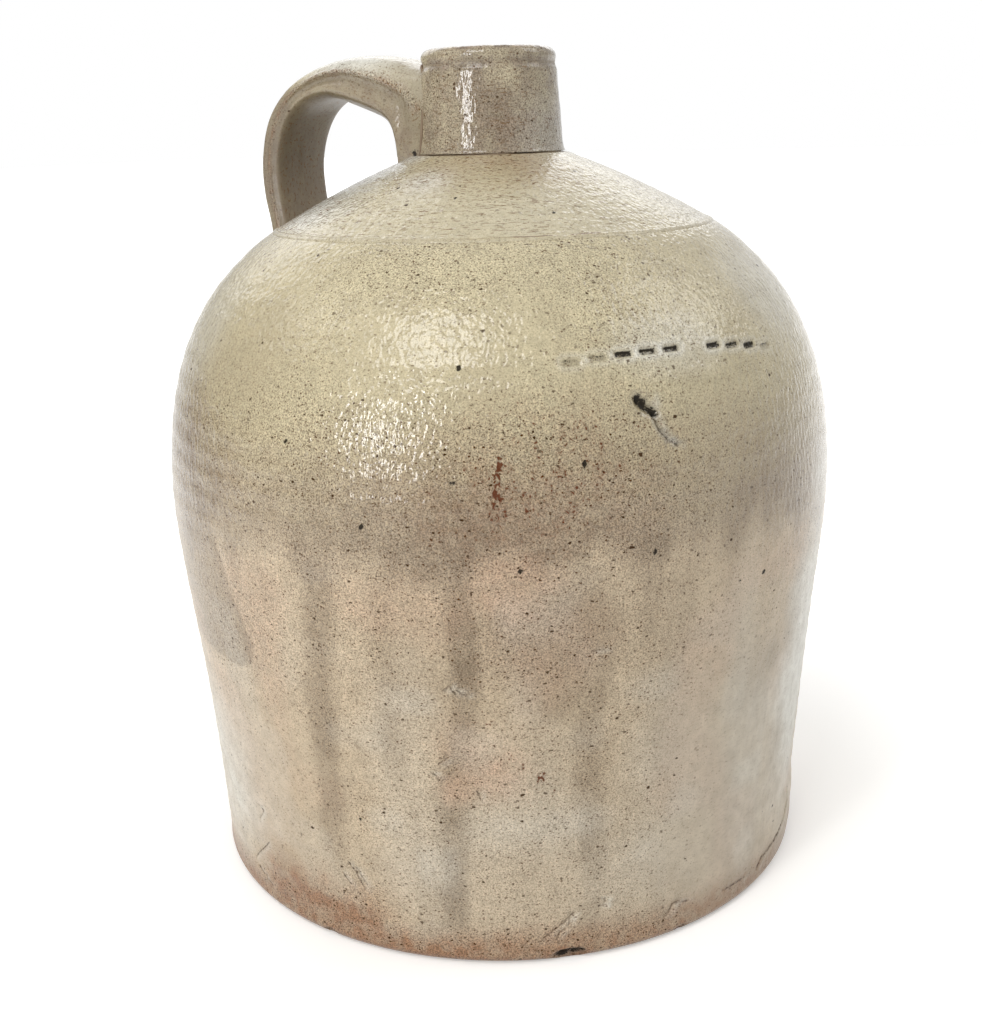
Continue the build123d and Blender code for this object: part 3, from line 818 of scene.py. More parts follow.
def body_outline():
    """The body's outside, from the foot's edge up to the shoulder seam, with points crowded where fine
    marks lie: at the dashes, the gouge and the foot."""
    foot = arc((FOOT_RADIUS - FOOT_EDGE, FOOT_EDGE), FOOT_EDGE, -90, 0, 40)
    wall = bend(FOOT_PLACE, BELLY_PLACE, WALL_PULLS, 400)
    shoulder = bend(BELLY_PLACE, SEAM_PLACE, SHOULDER_PULLS, 400)
    path = joined(foot, wall, shoulder)
    height = path[:, 1]
    weights = 1.0 + 1.6 * bell(height - 201, 4) + 0.7 * bell(height - 184, 9) + 1.5 * bell(height - 8, 14)
    return spaced(path, weights, BODY_ROWS)


def body_bearings():
    """Bearings round the body, closer together at the front and closest at the tooled dashes."""
    round_about = np.linspace(-180, 180, 1441)
    front = smooth(100, 70, np.abs(round_about))
    dashes = smooth(26, 20, np.abs(round_about - 30))
    return spaced(round_about[:, None], 1.0 + 1.2 * front + 1.0 * dashes, BODY_COLUMNS + 1)[:-1, 0]


def strokes(chains):
    """The straight strokes of chains of marks."""
    return [pair for chain in chains for pair in zip(chain, chain[1:])]


def scratch_lips():
    """The strokes of the lips that the scratches raised."""
    right, up = SCRATCH_LIP
    return strokes([[(bearing + right, height + up) for bearing, height in chain] for chain in SCRATCHES])


def gouge_tail(skin, aside, width):
    """The groove that trails from the gouge, moved aside by some degrees: 1 along its middle."""
    marks = [(bearing + aside, height) for bearing, height in GOUGE_TAIL]
    return np.max([skin.stroke(*ends, width) for ends in zip(marks, marks[1:])], axis=0)


def tooled_dashes():
    """Marks of a row of evenly spaced dashes, each with its strength; the row falls a little at its ends."""
    bearings = DASH_FIRST + DASH_STEP * np.arange(len(DASH_STRENGTHS))
    heights = DASH_HEIGHT - DASH_FALL * (bearings - DASH_MIDDLE) ** 2
    return list(zip(zip(bearings, heights), DASH_STRENGTHS))


def foot_chips(skin):
    """The chips along the foot's edge, 1 where they are deepest."""
    chips = np.zeros(skin.height.shape)
    for mark, width, tall in CHIPS:
        across, up = skin.from_mark(mark)
        chips = np.maximum(chips, smooth(1.15, 0.75, np.hypot(across / width, up / tall)))
    return chips


def body_relief(skin, relief):
    """How far the body's skin stands out of its outline: broad unevenness and throwing rings, less the
    gouge, the tooled dashes, the scratches and the foot's chips, plus the lips that these raised."""
    calm = smooth(2, 10, skin.height) * smooth(232, 222, skin.height)
    broad = lumps(skin.points, 55, 1) * 0.7 + lumps(skin.points, 24, 2) * 0.3
    rings = skin.rings(BODY_RINGS, 1.5 * lumps(skin.points, 40, 3)) * (0.5 + 0.5 * lumps(skin.points, 60, 4))
    fine = lumps(skin.points, 5, 5) * 0.05
    height = calm * (relief.unevenness / MM * (broad - 0.8) + relief.throwing_rings / MM * rings + fine)
    ragged = lumps(skin.points, 2.2, 6)
    pit = sum(skin.spot(mark, width) for mark, width in GOUGE) * (1 + 0.3 * ragged)
    tail = gouge_tail(skin, 0.0, 0.75)
    lips = gouge_tail(skin, -0.9, 0.6) + gouge_tail(skin, 0.8, 0.6)
    height = height - relief.gouge_depth / MM * np.clip(pit, 0, 1) - 0.9 * tail + 0.35 * lips
    for mark, strength in tooled_dashes():
        across, up = skin.from_mark(mark)
        inside = smooth(1.6, 0.8, np.hypot(np.clip(np.abs(across) - DASH_HALF, 0, None), up))
        lip = bell(up + 1.9, 0.7) * (np.abs(across) < 2.8)
        height = height - relief.dash_depth / MM * strength * inside + 0.25 * strength * lip
    for start, end in strokes(SCRATCHES):
        height = height - 0.45 * skin.stroke(start, end, SCRATCH_WIDTH)
    for start, end in scratch_lips():
        height = height + 0.30 * skin.stroke(start, end, SCRATCH_WIDTH)
    height = height - relief.chip_depth / MM * foot_chips(skin) * (0.8 + 0.4 * ragged)
    burr = smooth(3, 9, skin.height) * smooth(26, 22, skin.height)
    burr = burr * smooth(54, 66, skin.bearing) * smooth(100, 84, skin.bearing)
    return height + 0.7 * burr


def thick_glaze(skin, drift, fray):
    """Taupe: where the glaze is thick, a band round the belly that drips, faint drips and runs below it, a
    leaf at the left and mauve clouds; and a painted shade on the left shoulder."""
    drawn = skin.points * np.array([1.0, 1.0, 0.13])
    drips = lumps(drawn, 9, 10)
    threads = lumps(drawn, 3.5, 19)
    height = skin.height + 4 * drift + 2.5 * fray
    top = np.interp(skin.bearing, BAND_BEARINGS, BAND_TOPS)
    foot = np.interp(skin.bearing, BAND_BEARINGS, BAND_FEET) - 9 * drips - 4 * threads
    depth = np.interp(skin.bearing, BAND_BEARINGS, BAND_DEPTHS)
    taupe = depth * smooth(foot - 12, foot + 10, height) * smooth(top + 44, top - 14, height)
    taupe = np.maximum(taupe, 0.24 * smooth(0.0, 0.8, drips + 0.5 * threads) * smooth(165, 125, height))
    taupe = taupe + 0.12 * smooth(0, 0.5, fray)
    for course, width, strength in RUNS:
        run = skin.run_down(course, width * (1 + 0.30 * drift + 0.15 * fray))
        taupe = np.maximum(taupe, strength * run * (0.9 + 0.25 * fray + 0.15 * threads))
    side = skin.bearing - np.interp(skin.height, LEAF_HEIGHTS, LEAF_BEARINGS) + 0.8 * fray
    leaf = smooth(0.7, -0.7, side) * smooth(-36, -20, side)
    leaf = leaf * smooth(93, 96, skin.height) * smooth(168, 146, skin.height)
    taupe = np.maximum(taupe, leaf * (0.62 + 0.16 * bell(side, 1.6)))
    for mark, width, tall, strength in MAUVES:
        taupe = np.maximum(taupe, strength * skin.patch(mark, width, tall, 0.55, 0.3 * drift + 0.15 * fray))
    return np.maximum(taupe, 0.30 * skin.patch(*SHOULDER_SHADE, 0.6, 0.3 * drift))


def flame_flashes(skin, drift, fray):
    """Blush and ash: faint clouds low on the wall, with the peach flashes and the pale blooms, two of which
    are painted sheen.
    """
    low = smooth(150, 125, skin.height)
    blush = 0.36 * low * smooth(0.0, 0.6, lumps(skin.points, 24, 44))
    for mark, width, tall, strength in PEACHES:
        blush = np.maximum(blush, strength * skin.patch(mark, width, tall, 0.5, 0.25 * drift + 0.2 * fray))
    ash_and_sheen = 0.14 * low * smooth(0.0, 0.6, lumps(skin.points, 15, 45))
    for mark, width, tall, strength in BLOOMS_AND_SHEEN:
        ash_and_sheen = ash_and_sheen + strength * skin.patch(mark, width, tall, 0.6, 0.3 * drift + 0.1 * fray)
    return blush, ash_and_sheen


def bare_clay(skin, drift, fray):
    """Toast along the foot, which climbs at the left of the front, with a faint cloud of it on the belly,
    and iron in bleeds and in freckled patches."""
    # Toast along the foot is bare clay, made strong enough that it also paints the shade low on the wall
    toast = smooth(18, 4, skin.height + 3 * drift + 2 * fray) * 0.88
    warm = smooth(-58, -46, skin.bearing) * smooth(-17, -27, skin.bearing)
    toast = np.maximum(toast, warm * smooth(31, 10, skin.height + 6 * drift + 3 * fray) * 0.85)
    toast = toast * (1 - 0.25 * smooth(8, 20, skin.bearing) * smooth(90, 70, skin.bearing))
    toast = np.maximum(toast, 0.24 * skin.patch(*BELLY_TOAST, 0.7, 0.3 * drift + 0.2 * fray))
    iron = 0.44 * sum(skin.spot(mark, width * 0.6, width * 1.1) for mark, width in IRON_BLEEDS)
    for mark, width, tall, strength in FRECKLES:
        iron = np.maximum(iron, strength * skin.patch(mark, width, tall, 0.7, 0.3 * drift))
    return toast, iron


def burnt_marks(skin):
    """Char and smoke in the burnt spots, the gouge, the dashes and the chips, with painted shade along the
    gouge's groove, at each dash's top and on the foot's rounded edge; and ash on the lips beside the gouge,
    the scratches and the dashes, as painted highlights."""
    ragged = lumps(skin.points, 2.5, 9)
    crumbs = lumps(skin.points, 1.3, 20)
    head = np.max([skin.spot(mark, 1.12 * width) for mark, width in GOUGE], axis=0)
    # Char and smoke along the gouge's groove, set to one side of it, are painted shade
    tail = gouge_tail(skin, 0.3, 0.7)
    char = (1.25 + 0.6 * crumbs) * sum(skin.spot(mark, 0.95) for mark in BURNT_SPOTS)
    char = char + head * (0.88 + 0.45 * crumbs) + tail * (0.20 + 0.2 * ragged)
    smoke_and_shade = 0.6 * head + 0.45 * tail
    # Pale ash along the groove's other edge and beside the pit are painted highlights
    across, up = skin.from_mark(GOUGE_GLINT)
    ash_and_sheen = 0.40 * gouge_tail(skin, -0.5, 0.7) + 0.4 * bell(across, 1.2) * bell(up, 2.5)
    # Pale ash on the scratches' raised lips is a painted highlight on their lit edges
    for start, end in scratch_lips():
        ash_and_sheen = ash_and_sheen + 0.25 * skin.stroke(start, end, SCRATCH_WIDTH)
    for mark, strength in tooled_dashes():
        across, up = skin.from_mark(mark)
        apart = np.hypot(np.clip(np.abs(across) - DASH_HALF + 0.1, 0, None), up)
        # Each dash is darker towards its top, a painted shadow of its upper wall
        fill = 0.58 + 0.14 * ragged + 0.20 * smooth(-0.2, 0.5, up)
        char = char + strength * smooth(1.4, 0.8, apart) * fill
        smoke_and_shade = smoke_and_shade + 0.55 * strength * smooth(1.5, 0.9, apart)
        # A pale ring round each dash is a painted highlight on its rim
        ash_and_sheen = ash_and_sheen + 0.35 * strength * bell(apart - 2.2, 0.8)
    chips = foot_chips(skin)
    char = char + chips * (0.60 + 0.35 * crumbs)
    # Smoke on the foot's rounded edge is painted shade
    smoke_and_shade = smoke_and_shade + 0.45 * chips + 0.25 * smooth(3.5, 1.0, skin.height)
    return char, smoke_and_shade, ash_and_sheen


def body_tones(skin):
    """The body's masks: a band where the glaze is thick, runs below it, blushes, ash with painted sheen and
    highlights, toast along the foot, iron bleeds, black in the pits, and painted shade at the marks and on
    the left shoulder. It is glossier above, and less peppered at both sides."""
    drift = lumps(skin.points, 20, 7)
    fray = lumps(skin.points, 7, 8)
    taupe = thick_glaze(skin, drift, fray)
    blush, ash_and_sheen = flame_flashes(skin, drift, fray)
    toast, iron = bare_clay(skin, drift, fray)
    char, smoke_and_shade, lips = burnt_marks(skin)
    gloss = smooth(120, 190, skin.height + 4 * drift + 2.5 * fray) * 0.60 + 0.40
    right = smooth(18, 42, skin.bearing) * smooth(120, 90, skin.bearing)
    left = smooth(-25, -45, skin.bearing) * smooth(-120, -90, skin.bearing)
    pepper = 0.86 + 0.14 * taupe - 0.12 * smooth(140, 60, skin.height)
    pepper = pepper - right * (0.30 + 0.32 * smooth(130, 70, skin.height))
    pepper = pepper - left * (0.40 * smooth(175, 205, skin.height) + 0.28 * smooth(110, 60, skin.height))
    # Less pepper in the glare patch paints the window's glare washing out the specks
    pepper = pepper + 0.10 * drift - 0.35 * skin.patch(*GLARE_PATCH, 0.7, 0.3 * drift) + 0.55 * toast
    # The lips' ash from the marks is painted highlight, added to the ash
    return tones(
        skin.height.shape, taupe=taupe, blush=blush, ash_and_sheen=ash_and_sheen + lips, smoke_and_shade=smoke_and_shade, toast=toast, iron=iron,
        char=char, pepper=pepper, gloss=gloss, dashes=0.15)


class JUG_OT_throw_body(bpy.types.Operator):
    """Throws the body: floor, wall and lower shoulder"""

    bl_idname = "jug.throw_body"
    bl_label = "Throw Body"

    def execute(self, context):
        """An outline turned round the axis: under the foot, up the marked outside, and down the hollow."""
        bearings = body_bearings()
        skin = Skin(body_outline(), bearings)
        outside = skin.at(body_relief(skin, context.scene.jug_relief))
        under = Skin(line((0.5, 0.0), (FOOT_RADIUS - FOOT_EDGE, 0.0), 6)[:-1], bearings)
        seam_inside = inset(SEAM_PLACE, WALL)
        belly_inside = inset(BELLY_PLACE, WALL)
        heel_inside = inset((FOOT_RADIUS + 1.0, FLOOR + HEEL_ROUND, FOOT_TURN), WALL)
        floor_inside = (heel_inside[0] - HEEL_ROUND, FLOOR, -90.0)
        hollow = joined(
            bend(floor_inside, heel_inside, HEEL_PULLS, 5),
            bend(heel_inside, belly_inside, WALL_PULLS, 8),
            bend(belly_inside, seam_inside, SHOULDER_PULLS, 8),
        )[::-1]
        grid = np.concatenate([under.at(0.0), outside, Skin(hollow, bearings).at(0.0)])
        values = body_tones(skin)
        values["grain"] = skin.grain(3.0)
        values["wall"] = unrolled(skin.bearing, skin.height)
        values = extend(values, len(under.outline), len(hollow), tones((1, 1), toast=0.7, gloss=0.1))
        make_piece("body_skin", grid, salt_glaze(), ["thrown_body"], values)
        return {"FINISHED"}


class JUG_OT_throw_shoulder(bpy.types.Operator):
    """Throws the shoulder cap and lays the ring of slip on its seam"""

    bl_idname = "jug.throw_shoulder"
    bl_label = "Throw Shoulder"

    def execute(self, context):
        """An outline turned round the axis: up the outside, over the seat, and back underneath."""
        bearings = np.linspace(-180, 180, 361)[:-1]
        skin = Skin(bend(CAP_PLACE, SEAT_PLACE, EVEN_PULLS, 60), bearings)
        rings = skin.rings(CAP_RINGS, 1.2 * lumps(skin.points, 30, 11))
        calm = smooth(0, 3, skin.up) * smooth(skin.up.max(), skin.up.max() - 4, skin.up)
        uneven = 0.25 * lumps(skin.points, 26, 12) + 0.06 * lumps(skin.points, 5, 13)
        height = calm * (0.04 * rings + uneven - 0.15)
        throat = (BORE_RADIUS, SEAT_HEIGHT - WALL, SEAT_TURN)
        inner = joined(
            line((SEAT_RADIUS, SEAT_HEIGHT), (BORE_RADIUS, SEAT_HEIGHT), 4),
            line((BORE_RADIUS, SEAT_HEIGHT), throat[:2], 4),
            bend(inset(CAP_PLACE, WALL), throat, EVEN_PULLS, 10)[::-1],
        )[1:]
        grid = np.concatenate([skin.at(height), Skin(inner, bearings).at(0.0)])
        values = extend(self.masks(skin), 0, len(inner), tones((1, 1), taupe=0.3, gloss=0.3))
        make_piece("shoulder_cap_skin", grid, salt_glaze(), ["shoulder_cap"], values, ring=True)
        self.lay_ring(bearings)
        return {"FINISHED"}

    def masks(self, skin):
        """The cap's masks: browner in front of the neck, with painted sheen of pale ash at the right, in a
        wedge at the left and in a spot beside the handle's root, a painted shadow in another spot there, and
        many dashes of the wheel."""
        drift = lumps(skin.points, 18, 14)
        fray = lumps(skin.points, 5, 15)
        turn = skin.bearing + 9 * drift + 5 * fray
        near_neck = smooth(245, 258, skin.height + 2 * drift)
        browned = near_neck * smooth(60, 20, np.abs(skin.bearing + 3))
        taupe = 0.03 * near_neck + 0.20 * browned + 0.06 * smooth(0, 0.6, fray)
        # Ash at the right of the cap is painted sheen; the lumps vary it
        ash_and_sheen = 0.08 + 0.05 * smooth(10, 40, skin.bearing) * smooth(130, 80, skin.bearing)
        ash_and_sheen = ash_and_sheen + 0.1 * drift - 0.1 * browned
        # A wedge of pale ash at the left is painted sheen
        sheen_wedge = smooth(-44, -74, turn) * smooth(-136, -92, turn) * smooth(-2, 9, skin.up + 3 * fray)
        ash_and_sheen = ash_and_sheen + 0.85 * sheen_wedge + 0.60 * skin.spot(*CAP_SHEEN)
        # Painted shadow beside the handle's root
        smoke_and_shade = 0.25 * skin.spot(*CAP_SHADOW)
        toast = 0.30 * browned * smooth(-0.6, 0.4, drift)
        char = sum(skin.spot(mark, 0.9) for mark in CAP_SPOTS)
        dashes = 0.70 + 0.30 * browned + 0.30 * fray
        values = tones(
            skin.height.shape, taupe=taupe, ash_and_sheen=ash_and_sheen, smoke_and_shade=smoke_and_shade, toast=toast, char=char, pepper=0.45,
            gloss=0.95, dashes=dashes)
        values["grain"] = skin.grain(3.5)
        return values

    def lay_ring(self, bearings):
        """The ring on the seam: a low rounded ridge, an oval turned round the axis, whose height wanders,
        with a rusty line on its upper side."""
        along = heading(SEAM_TURN)
        out = np.array([along[1], -along[0]])
        middle = np.array(SEAM_PLACE[:2]) + along * SLIP / 2
        angles = full_turn(24)[:, None]
        rise = np.sin(angles) * RING_RISE - RING_SINK
        section = middle + np.cos(angles) * along * RING_WIDTH + rise * out
        skin = Skin(section, bearings)
        side = np.repeat(np.cos(angles), len(bearings), axis=1)
        height = (np.sin(angles) > 0) * (0.18 * lumps(skin.points, 9, 16) + 0.10 * lumps(skin.points, 3, 17))
        grid = turned(skin.bearing, skin.radius + height * out[0], skin.height + height * out[1])
        broken = smooth(-0.4, 0.4, lumps(skin.points, 7, 18))
        iron = 0.85 * smooth(0.1, 0.7, side) * broken * smooth(30, 10, np.abs(skin.bearing - 12))
        # Pale ash on the ring's lower side is a painted highlight on the ridge
        ash_and_sheen = 0.12 * smooth(0.2, -0.4, side)
        values = tones(side.shape, taupe=0.15, ash_and_sheen=ash_and_sheen, iron=iron, gloss=0.8, dashes=0.2)
        values["grain"] = grid * MM
        nodes = ["shoulder_seam_slip"]
        make_piece("shoulder_ring", grid, salt_glaze(), nodes, values, ring=True)


class JUG_OT_throw_neck(bpy.types.Operator):
    """Throws the neck with its lip, groove and mouth"""

    bl_idname = "jug.throw_neck"
    bl_label = "Throw Neck"

    def execute(self, context):
        """An outline turned round the axis: up the outside, over the lip, and down the bore."""
        bearings = np.linspace(-180, 180, 241)[:-1]
        foot = (NECK_FOOT_RADIUS - 0.1, SEAT_HEIGHT + 0.4)
        outer = joined(
            line(foot, (NECK_TOP_RADIUS, RIM_HEIGHT - LIP_ROUND), 60),
            arc((NECK_TOP_RADIUS - LIP_ROUND, RIM_HEIGHT - LIP_ROUND), LIP_ROUND, 0, 90, 14),
            line((NECK_TOP_RADIUS - LIP_ROUND, RIM_HEIGHT), (BORE_RADIUS + MOUTH_ROUND, RIM_HEIGHT), 4),
            arc((BORE_RADIUS + MOUTH_ROUND, RIM_HEIGHT - MOUTH_ROUND), MOUTH_ROUND, 90, 180, 12),
        )
        skin = Skin(outer, bearings)
        below_rim = smooth(RIM_HEIGHT - 1, RIM_HEIGHT - 4, skin.height)
        outside = below_rim * (skin.radius > NECK_TOP_RADIUS - LIP_ROUND)
        groove = bell(skin.height - GROOVE_HEIGHT, GROOVE_WIDTH)
        rings = skin.rings(NECK_RINGS, 1.5 * lumps(skin.points, 14, 21))
        height = -context.scene.jug_relief.lip_groove / MM * groove * (1 + 0.3 * lumps(skin.points, 9, 22))
        height = height + 0.16 * lumps(skin.points, 11, 23) + 0.03 * rings + 0.06 * lumps(skin.points, 3, 24)
        height = height + FOOT_FLARE * np.exp(-(skin.height - foot[1]) / FLARE_FADE)
        height = height - 1.3 * skin.spot(RIM_CHIP, 2.0, 1.6)
        height = outside * height + 0.08 * (lumps(skin.points, 5, 25) - 1)
        bore = line((BORE_RADIUS, RIM_HEIGHT - MOUTH_ROUND), (BORE_RADIUS, foot[1]), 6)[1:]
        grid = np.concatenate([skin.at(height), Skin(bore, bearings).at(0.0)])
        plain = tones((1, 1), taupe=0.7, toast=0.3, iron=0.2, gloss=0.6)
        values = extend(self.masks(skin, groove), 0, len(bore), plain)
        make_piece("neck_skin", grid, salt_glaze(), ["neck_collar"], values, ring=True)
        self.seal_foot(bearings)
        return {"FINISHED"}

    def masks(self, skin, groove):
        """The neck's masks: clouded taupe, paler at the right, darker in the groove under the lip as painted
        shade, smoky on the rim, with a stain at the front and a burnt chip."""
        drift = lumps(skin.points, 9, 26)
        fray = lumps(skin.points, 3, 27)
        lip = smooth(RIM_HEIGHT - 5.2, RIM_HEIGHT - 3.5, skin.height)
        rim = smooth(RIM_HEIGHT - 1.6, RIM_HEIGHT - 0.5, skin.height)
        rim = rim * smooth(BORE_RADIUS, NECK_TOP_RADIUS - 3, skin.radius)
        stain = skin.spot(*NECK_STAIN)
        # More taupe in the groove under the lip is painted shade
        taupe = 0.70 + 0.35 * drift + 0.20 * fray - 0.15 * lip + 0.25 * groove
        taupe = taupe + 0.3 * skin.patch(*NECK_CLOUD, 0.6, 0.3 * drift)
        right = smooth(5, 45, skin.bearing) * (skin.bearing < 120)
        ash_and_sheen = 0.10 + 0.30 * right * smooth(284, 264, skin.height)
        # Smoke in the groove under the lip is painted shade; on the rim it is smoke
        smoke_and_shade = 0.20 * bell(skin.height - (RIM_HEIGHT - 6.2), 2.2) * smooth(-0.6, 0.4, fray + drift)
        smoke_and_shade = smoke_and_shade + 0.10 * smooth(-0.1, 0.7, drift) + 0.45 * rim * smooth(-0.5, 0.3, fray)
        toast = 0.13 * stain * smooth(-0.5, 0.4, fray + drift) + 0.30 * rim
        char = 0.9 * skin.spot(RIM_CHIP, 1.5, 1.2) + 0.10 * smooth(-0.2, 0.6, fray) + 0.04 * stain
        dashes = 0.35 + 0.4 * fray + 0.25 * stain
        values = tones(
            skin.height.shape, taupe=taupe, ash_and_sheen=ash_and_sheen, smoke_and_shade=smoke_and_shade, toast=toast, iron=0.05 * stain, char=char,
            pepper=0.90, gloss=0.95 - 0.6 * groove, dashes=dashes, peel=0.6)
        values["grain"] = skin.grain(3.0)
        return values

    def seal_foot(self, bearings):
        """The slip at the neck's foot: a thin round bead that sinks into the clay here and there."""
        angles = full_turn(12)
        oval = np.stack([np.cos(angles), np.sin(angles)], axis=1) * NECK_BEAD
        skin = Skin(oval + [NECK_FOOT_RADIUS, SEAT_HEIGHT], bearings)
        sunk = 0.15 + 0.25 * lumps(skin.points * np.array([1.0, 1.0, 0.0]), 6, 28)
        grid = turned(skin.bearing, skin.radius - sunk, skin.height - sunk)
        make_piece("neck_bead", grid, fired_slip(), ["neck_seam_slip"], {}, ring=True)


def strap_place(reach, height, fall):
    """A place on the handle: its reach from the axis, its height and its way, 0 outwards and 90 down."""
    return (-reach, height, 90.0 + fall)


def strap_foot(offset):
    """A place for the strap's lower end, this far down the shoulder from the seam, inside the clay."""
    point = np.array(SEAM_PLACE[:2]) - heading(SEAM_TURN) * offset
    deep = inset((*point, SEAM_TURN), WALL)
    return strap_place(deep[0], deep[1], 115.0)


def strap_lines():
    """The strap's outer line, from inside the neck over the crest and down the leg into the shoulder, and
    its inner line, which starts low on the neck as the smoothed wad's front and turns a corner under the
    strap: Bezier curves, one fewer than the places. Both start with straight runs from the strap's end
    inside the neck's wall, which closes to its middle there."""
    inner_leg = LEG_REACH - LEG_THICKNESS
    outer = (
        strap_place(14.0, CREST_HEIGHT - 8.0, -20.0),
        strap_place(LEG_REACH - 47.9, CREST_HEIGHT, 0.0),
        strap_place(LEG_REACH, LEG_HEIGHT, 90.0),
        strap_foot(STRAP_FOOT_OFFSET + LEG_THICKNESS / 2),
    )
    inner = (
        strap_place(31.4, SEAT_HEIGHT - 4.0, -88.0),
        strap_place(34.6, SEAT_HEIGHT + 10.0, -46.0),
        strap_place(inner_leg - 22.3, CREST_HEIGHT - CREST_THICKNESS, 0.0),
        strap_place(inner_leg, LEG_HEIGHT, 90.0),
        strap_foot(STRAP_FOOT_OFFSET - LEG_THICKNESS / 2),
    )
    outer_pulls = (EVEN_PULLS, STRAP_BENDS, EVEN_PULLS)
    inner_pulls = (EVEN_PULLS, CORNER_PULLS, STRAP_BENDS, EVEN_PULLS)
    end = np.array([-ROOT_CLEARANCE, (STRAP_ROOT[0][1] + STRAP_ROOT[1][1]) / 2])
    lines = []
    for places, pulls, steps, root, aside in (
        (outer, outer_pulls, OUTER_STEPS, STRAP_ROOT[0], 0.2),
        (inner, inner_pulls, INNER_STEPS, STRAP_ROOT[1], -0.2),
    ):
        bends = [bend(*ends) for ends in zip(places, places[1:], pulls, steps)]
        lines.append(joined([end + [0, aside], root], line(root, bends[0][0], 11), *bends))
    return lines


def neck_meeting(height):
    """The neck's radius at a height, and how far aside of the handle's middle plane the strap meets it."""
    neck = np.interp(height, [SEAT_HEIGHT, RIM_HEIGHT], [NECK_FOOT_RADIUS, NECK_TOP_RADIUS])
    return neck, np.sqrt(neck ** 2 - FLARE_REACH ** 2) - 0.3


